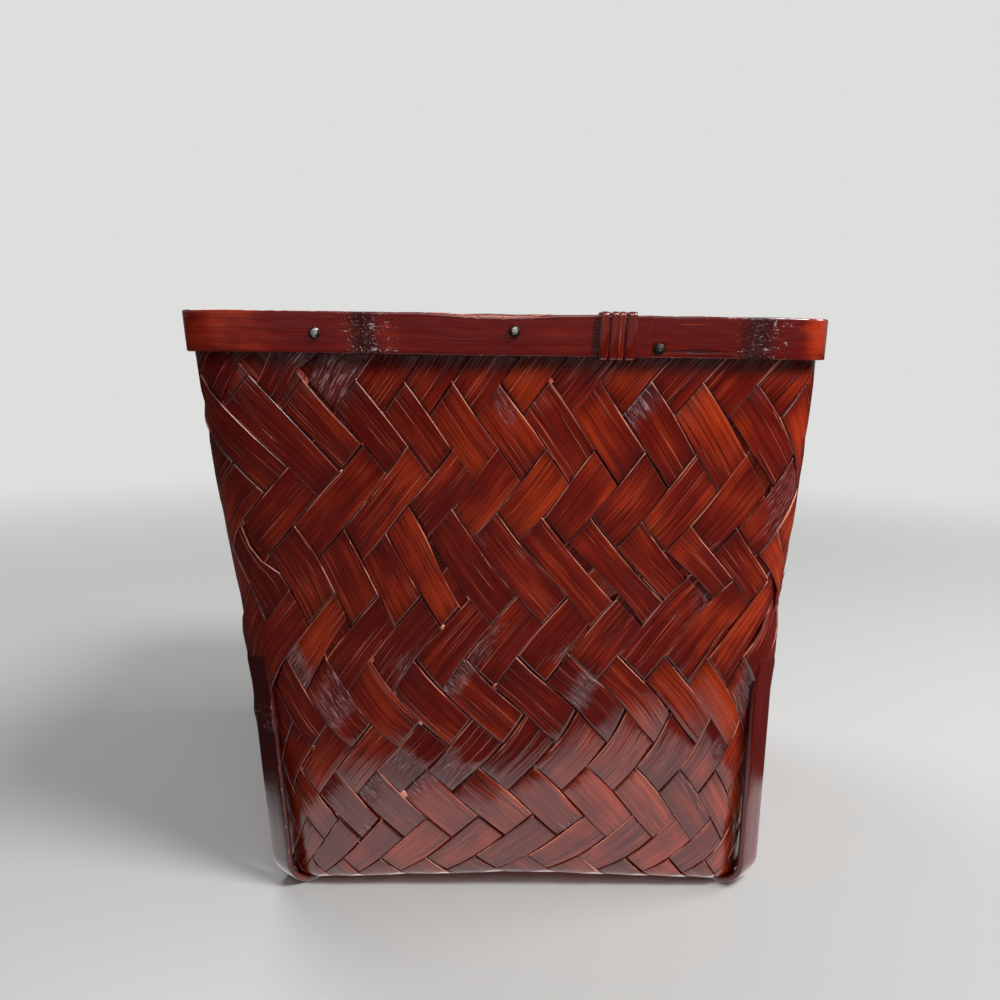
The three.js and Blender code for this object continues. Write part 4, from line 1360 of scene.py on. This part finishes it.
class BASKET_OT_nails(bpy.types.Operator):
    """Drives the rim's nails, each with a dented head of its own"""

    bl_idname = "basket.nails"
    bl_label = "Drive the nails"

    # How tarnished each side's nails are
    DULL = ((0.0, 0.35, 0.6), (0.3, 0.1, 0.5), (0.1, 0.5, 0.2), (0.6, 0.1, 0.4))
    # Steps up a head and round it
    STEPS_UP, STEPS_ROUND = 8, 20
    # How far a head is out of round, beaten down on one side, and dented
    OUT_OF_ROUND, BEATEN, DENTED = 0.05, 0.10, 0.05
    # Picks the dents of all heads
    SEED = 21

    def execute(self, context):
        form, sizes, hoop = the_form(), settings().nail, settings().hoop
        material = worn_iron(settings().finish)
        low = form.section(form.sizes.height - hoop.height)[0]
        tilt = math.atan2(form.section(form.sizes.height)[0] - low, hoop.height)
        pick = np.random.default_rng(self.SEED)
        for name, side, places, drops in NAIL_SETS:
            for k, (along, drop) in enumerate(zip(places, drops)):
                z = form.sizes.height - drop * MM
                half, corner, _ = form.section(z)
                facing = (side - 1) * math.pi / 2
                axis = np.array([math.cos(facing), math.sin(facing), -math.tan(tilt)]) * math.cos(tilt)
                seat = form.outline(side, along * MM / (half - corner), 0, z, 0)
                seat = seat + axis * (2 * form.sizes.gap + hoop.thickness)
                parts = MeshParts()
                parts.add(*self.nail(sizes, seat, axis, self.DULL[side][k], pick))
                parts.build(f"nail_{name}_{k + 1}", material, "nail_iron", f"rim_nail_{name}_{k + 1}")
        return {"FINISHED"}

    def nail(self, sizes, seat, axis, dull, pick):
        """The rings of one nail, from its point to the top of its dented head"""
        shank, head = sizes.shank_radius, sizes.head_radius
        profile = [(shank * 0.1, -sizes.length), (shank, 2 * shank - sizes.length)]
        profile += [(shank, -0.3 * MM), (shank, 0), (head * 0.97, 0)]
        for k in range(self.STEPS_UP + 1):
            angle = k / self.STEPS_UP * math.pi / 2
            radius = head * max(math.cos(angle), 0.04)
            profile.append((radius, sizes.head_height * mix(0.25, 1, math.sin(angle))))
        radius, rise = np.array(profile).T[:, :, None]
        turn = np.linspace(0, 2 * math.pi, self.STEPS_ROUND, endpoint=False)[None, :]
        dents = pick.uniform(0, 2 * math.pi, 4)
        high, out = np.clip(rise / sizes.head_height, 0, 1), radius / head
        wobble = np.sin(2 * turn + dents[0]) + 0.6 * np.sin(5 * turn + dents[1])
        wobble = 1 + high * self.OUT_OF_ROUND * wobble
        flat = 1 - high * self.BEATEN * (1 + np.sin(turn + dents[2]) * out)
        flat = flat - high * self.DENTED * np.sin(3 * turn + dents[3]) * out
        side = np.cross([0.0, 0.0, 1.0], axis)
        side /= np.linalg.norm(side)
        up = np.cross(axis, side)
        x = (radius * wobble * np.cos(turn))[..., None] * side
        y = (radius * wobble * np.sin(turn))[..., None] * up
        rings = seat + x + y + (rise * flat)[..., None] * axis
        rim = np.clip(out * 1.6 - 0.6, 0, 1) * (rise > 0)
        return rings, rings, vectors(rim, dull + 0 * turn, 0.0)


class BASKET_OT_runners(bpy.types.Operator):
    """Bends the two crossed runners that the basket stands on"""

    bl_idname = "basket.runners"
    bl_label = "Bend the runners"

    # The corner that each runner's first leg climbs. The second leg climbs the opposite one.
    CORNERS = {"lower": (1, -1), "upper": (-1, -1)}
    # The strip's section, in half widths and in thicknesses
    SECTION = (
        (-1, 0.06), (-0.9, 0), (0, 0), (0.9, 0), (1, 0.06), (1, 0.8), (0.95, 0.95), (0.85, 1),
        (0.45, 1.04), (0, 1.06), (-0.45, 1.04), (-0.85, 1), (-0.95, 0.95), (-1, 0.8),
    )
    # Stations down a leg, round its foot and across the base, and how far the base's stations
    # keep off those of the feet
    LEG_STATIONS, BEND_STATIONS, FLAT_STATIONS = 60, 12, 60
    KEEP_OFF = 2 * MM
    # Half widths from which a strip's edges are worn, and those over which that comes
    WORN_FROM, WORN_OVER = 0.93, 0.06
    # How dark the legs are from their feet up, and from what height, on the lower and the upper
    # runner
    FOOT_STAINS = ((0.3, 15 * MM), (0.6, 12 * MM))
    # How dark the tips are painted in shade where they go under the splints, how far below that place
    # it starts, and over what height it comes
    TIP_STAIN, STAIN_BELOW, STAIN_OVER = 0.25, 4 * MM, 12 * MM
    # How far the node's dark stain reaches
    NODE_STAIN = 6 * MM

    def execute(self, context):
        form, sizes = the_form(), settings().runner
        material = lacquered_strip("lacquered_runner", settings().finish, 1.1, 1.14, 1.55)
        for name, corner in self.CORNERS.items():
            parts = MeshParts()
            parts.add(*self.runner(form, sizes, corner, name == "upper"))
            parts.build(f"runner_{name}", material, "runner_bamboo", f"{name}_base_runner")
        return {"FINISHED"}

    def leg(self, form, sizes, has_node):
        """Stations down a leg and round its foot: reach, height, facing, thickness, width"""
        follow = form.corner_reach(sizes.follow_height)
        drop = follow - form.corner_reach(0) - sizes.stand_off
        slope = drop / sizes.follow_height
        tilt = math.atan(slope)
        bend = sizes.bend_radius - sizes.thickness
        foot = sizes.bend_radius - bend * math.sin(tilt)
        top = sizes.follow_height + sizes.tuck
        gap = form.sizes.gap

        def reach(z):
            if z > sizes.follow_height:
                return form.corner_reach(z) + gap
            return follow + gap - slope * (sizes.follow_height - z)

        stations = []
        for z in np.linspace(top, foot, self.LEG_STATIONS):
            into_tip = min(max((z - top + sizes.taper) / sizes.taper, 0), 1)
            swelling = 0
            if has_node:
                swelling = sizes.node_rise * bell((z - sizes.node_height) / sizes.node_width)
            thickness = mix(sizes.thickness, sizes.tip_thickness, into_tip) + swelling
            width = mix(sizes.width, sizes.tip_width, into_tip)
            stations.append((reach(z), z, tilt, thickness, width))
        centre = reach(foot) - bend * math.cos(tilt)
        for k in range(1, self.BEND_STATIONS + 1):
            angle = mix(tilt, math.pi / 2, k / self.BEND_STATIONS)
            out, down = centre + bend * math.cos(angle), sizes.bend_radius - bend * math.sin(angle)
            stations.append((out, down, angle, sizes.thickness, sizes.width))
        return stations

    def runner(self, form, sizes, corner, crosses_over):
        """One runner, down its first leg, across under the base and up its second leg"""
        near = self.leg(form, sizes, crosses_over)
        far = self.leg(form, sizes, False)
        far = [(-r, z, math.pi - angle, th, w) for r, z, angle, th, w in reversed(far)]
        lift = form.level_corner if crosses_over else 0
        flat = []
        start, end = near[-1][0] - self.KEEP_OFF, far[0][0] + self.KEEP_OFF
        for reach in np.linspace(start, end, self.FLAT_STATIONS):
            away = min(max((abs(reach) - sizes.cross_flat) / sizes.cross_ramp, 0), 1)
            z = sizes.thickness + lift * (1 + math.cos(math.pi * away)) / 2
            flat.append((reach, z, math.pi / 2, sizes.thickness, sizes.width))
        reach, z, angle, thickness, width = np.array(near + flat + far).T[:, :, None, None]
        along = np.array([*corner, 0]) / math.sqrt(2)
        across = np.array([-along[1], along[0], 0])
        up = np.array([0, 0, 1.0])
        outwards = along * np.cos(angle) - up * np.sin(angle)
        shift = form.section(z)[2] * np.array([1.0, 0, 0])
        w, n = np.array(self.SECTION).T[:, None, :, None]
        middle = along * reach + up * z + shift
        rings = middle + across * w * width / 2 + outwards * n * thickness
        run = walked(reach[:, 0, 0], z[:, 0, 0])[:, None, None]
        place = np.concatenate(np.broadcast_arrays(run, w * width / 2, 0.3 + n * thickness), -1)
        node = bell((z - sizes.node_height) / self.NODE_STAIN) * (reach > 0) * crosses_over
        wear = np.clip((np.abs(w) - self.WORN_FROM) / self.WORN_OVER, 0, 1) * (n > 0.5)
        tip = ease((z - sizes.follow_height + self.STAIN_BELOW) / self.STAIN_OVER)
        dark, clear = self.FOOT_STAINS[crosses_over]
        # Painted shade at the tips under the splints, and the legs' own dark stain from the feet up
        stain_and_shade = np.maximum(self.TIP_STAIN * tip, dark * (reach > 0.02) * ease(z / clear))
        marks = np.concatenate(np.broadcast_arrays(node, wear * 0.8, stain_and_shade), -1)
        return rings, place, marks


class BASKET_OT_stage(bpy.types.Operator):
    """Lays the pale floor and sets the soft light and the camera"""

    bl_idname = "basket.stage"
    bl_label = "Set the stage"

    # Each lamp's name, place, target, width and power
    LAMPS = (
        ("key_light", (0.80, -0.62, 1.40), (0, 0, 0.13), 0.6, 26),
        ("front_light", (0.1, -1.4, 1.3), (0, 0, 0.13), 0.8, 6),
        ("back_light", (-0.7, 0.9, 1.4), (0, 0, 0.13), 0.9, 12),
        ("side_light", (1.3, 0.1, 0.9), (0.05, 0, 0.15), 0.6, 10),
    )
    FLOOR_REACH = 12
    # Distances over which the lit floor ends, in gloss, and over which the floor fades into the
    # backdrop
    LIT_EDGE = 0.006
    FADE = (0.45, 1.5)
    # Strengths of the lit floor, of the soft light, and of the backdrop in gloss
    LIT_STRENGTH = 1.4
    SOFT_STRENGTH = 0.13
    BACKDROP_IN_GLOSS = 0.15
    # The camera's focal length and the width of its sensor, in millimetres
    LENS = 33.5
    SENSOR = 36

    def execute(self, context):
        stage = settings().stage
        self.floor(stage)
        self.world(stage)
        for lamp in self.LAMPS:
            self.lamp(*lamp)
        self.camera(stage)
        bpy.context.scene.view_settings.view_transform = "Standard"
        return {"FINISHED"}

    def floor(self, stage):
        mesh = bpy.data.meshes.new("floor")
        reach = self.FLOOR_REACH
        corners = [(-reach, -reach, 0), (reach, -reach, 0), (reach, reach, 0), (-reach, reach, 0)]
        mesh.from_pydata(corners, [], [(0, 1, 2, 3)])
        put("floor", mesh)
        make = Shader(bpy.data.materials.new("pale_floor"))
        place = make.node("ShaderNodeNewGeometry", output="Position")
        distance = make.node("ShaderNodeVectorMath", {"operation": "LENGTH"}, {0: place}, "Value")
        x, y, _ = make.parts(place)
        # The lit floor ends at a rounded square round the basket, nearer to it on the left
        leftwards = x * (x.ramp(0.12, 0.20) - 1) * 0.24
        x, y = x.math("ABSOLUTE"), y.math("ABSOLUTE")
        away = (x.most(y) - x.least(y) * 0.5).most(distance * 0.78) + leftwards
        glossy = make.node("ShaderNodeLightPath", output="Is Glossy Ray")
        dim = glossy * away.ramp(stage.lit_reach, stage.lit_reach + self.LIT_EDGE)
        seen = make.node("ShaderNodeLightPath", output="Is Camera Ray") * distance.ramp(*self.FADE)
        tint = make.blend(make.noise(place, 300, 3) * 0.05, stage.floor, (0.5, 0.5, 0.5))
        pale = make.node("ShaderNodeBsdfPrincipled", inputs={"Base Color": tint, "Roughness": 0.6})
        lit = {"Color": (*stage.lit_floor, 1), "Strength": self.LIT_STRENGTH}
        shader = make.either(glossy, pale, make.node("ShaderNodeEmission", inputs=lit))
        dark = make.node("ShaderNodeBsdfDiffuse", inputs={"Color": (*stage.far_floor, 1)})
        shader = make.either(dim, shader, dark)
        far = make.node("ShaderNodeEmission", inputs={"Color": (*stage.backdrop, 1)})
        make.node("ShaderNodeOutputMaterial", inputs={"Surface": make.either(seen, shader, far)})
        mesh.materials.append(make.owner)

    def world(self, stage):
        make = Shader(bpy.data.worlds.new("soft_light"))
        glossy = make.node("ShaderNodeLightPath", output="Is Glossy Ray")
        seen = make.node("ShaderNodeLightPath", output="Is Camera Ray")
        seen = glossy * self.BACKDROP_IN_GLOSS + seen
        light = {"Color": (*stage.soft_light, 1), "Strength": self.SOFT_STRENGTH}
        soft = make.node("ShaderNodeBackground", inputs=light)
        backdrop = make.node("ShaderNodeBackground", inputs={"Color": (*stage.backdrop, 1)})
        make.node("ShaderNodeOutputWorld", inputs={"Surface": make.either(seen, soft, backdrop)})
        bpy.context.scene.world = make.owner

    def lamp(self, name, place, target, size, power):
        light = bpy.data.lights.new(name, "AREA")
        light.shape = "DISK"
        light.size = size
        light.energy = power
        lamp = put(name, light)
        lamp.location = place
        aim(lamp, Vector(target) - Vector(place))

    def camera(self, stage):
        data = bpy.data.cameras.new("camera")
        data.sensor_width = self.SENSOR
        data.lens = self.LENS
        camera = put("camera", data)
        camera.location = (-stage.camera_side, -stage.camera_distance, stage.camera_height)
        pitch, yaw = stage.camera_pitch, stage.camera_yaw
        aim(camera, (math.sin(yaw), math.cos(yaw), -math.tan(pitch)), stage.camera_roll)
        bpy.context.scene.camera = camera


def aim(thing, direction, roll=0.0):
    """Turns a lamp or camera to look along a direction, tipped by roll"""
    turn = Vector(direction).to_track_quat("-Z", "Y").to_matrix() @ Matrix.Rotation(roll, 3, "Z")
    thing.rotation_euler = turn.to_euler()


OPERATORS = (
    BASKET_OT_splints,
    BASKET_OT_slivers,
    BASKET_OT_hoops,
    BASKET_OT_lashing,
    BASKET_OT_nails,
    BASKET_OT_runners,
    BASKET_OT_stage,
)


class BASKET_PT_panel(bpy.types.Panel):
    """Lists the steps that make the basket, and its settings"""

    bl_idname = "BASKET_PT_panel"
    bl_label = "Bamboo basket"
    bl_space_type = "VIEW_3D"
    bl_region_type = "UI"
    bl_category = "Basket"

    def draw(self, context):
        for operator in OPERATORS:
            self.layout.operator(operator.bl_idname)
        for name, group in GROUPS.items():
            box = self.layout.box()
            box.label(text=name.capitalize())
            for key in group.__annotations__:
                box.prop(getattr(context.scene.basket, name), key)


CLASSES = (*GROUPS.values(), BasketSettings, *OPERATORS, BASKET_PT_panel)


def register():
    for kind in CLASSES:
        bpy.utils.register_class(kind)
    bpy.types.Scene.basket = PointerProperty(type=BasketSettings)


def unregister():
    del bpy.types.Scene.basket
    for kind in reversed(CLASSES):
        bpy.utils.unregister_class(kind)


def main():
    register()
    for operator in OPERATORS:
        group, name = operator.bl_idname.split(".")
        getattr(getattr(bpy.ops, group), name)()


if __name__ == "__main__":
    main()
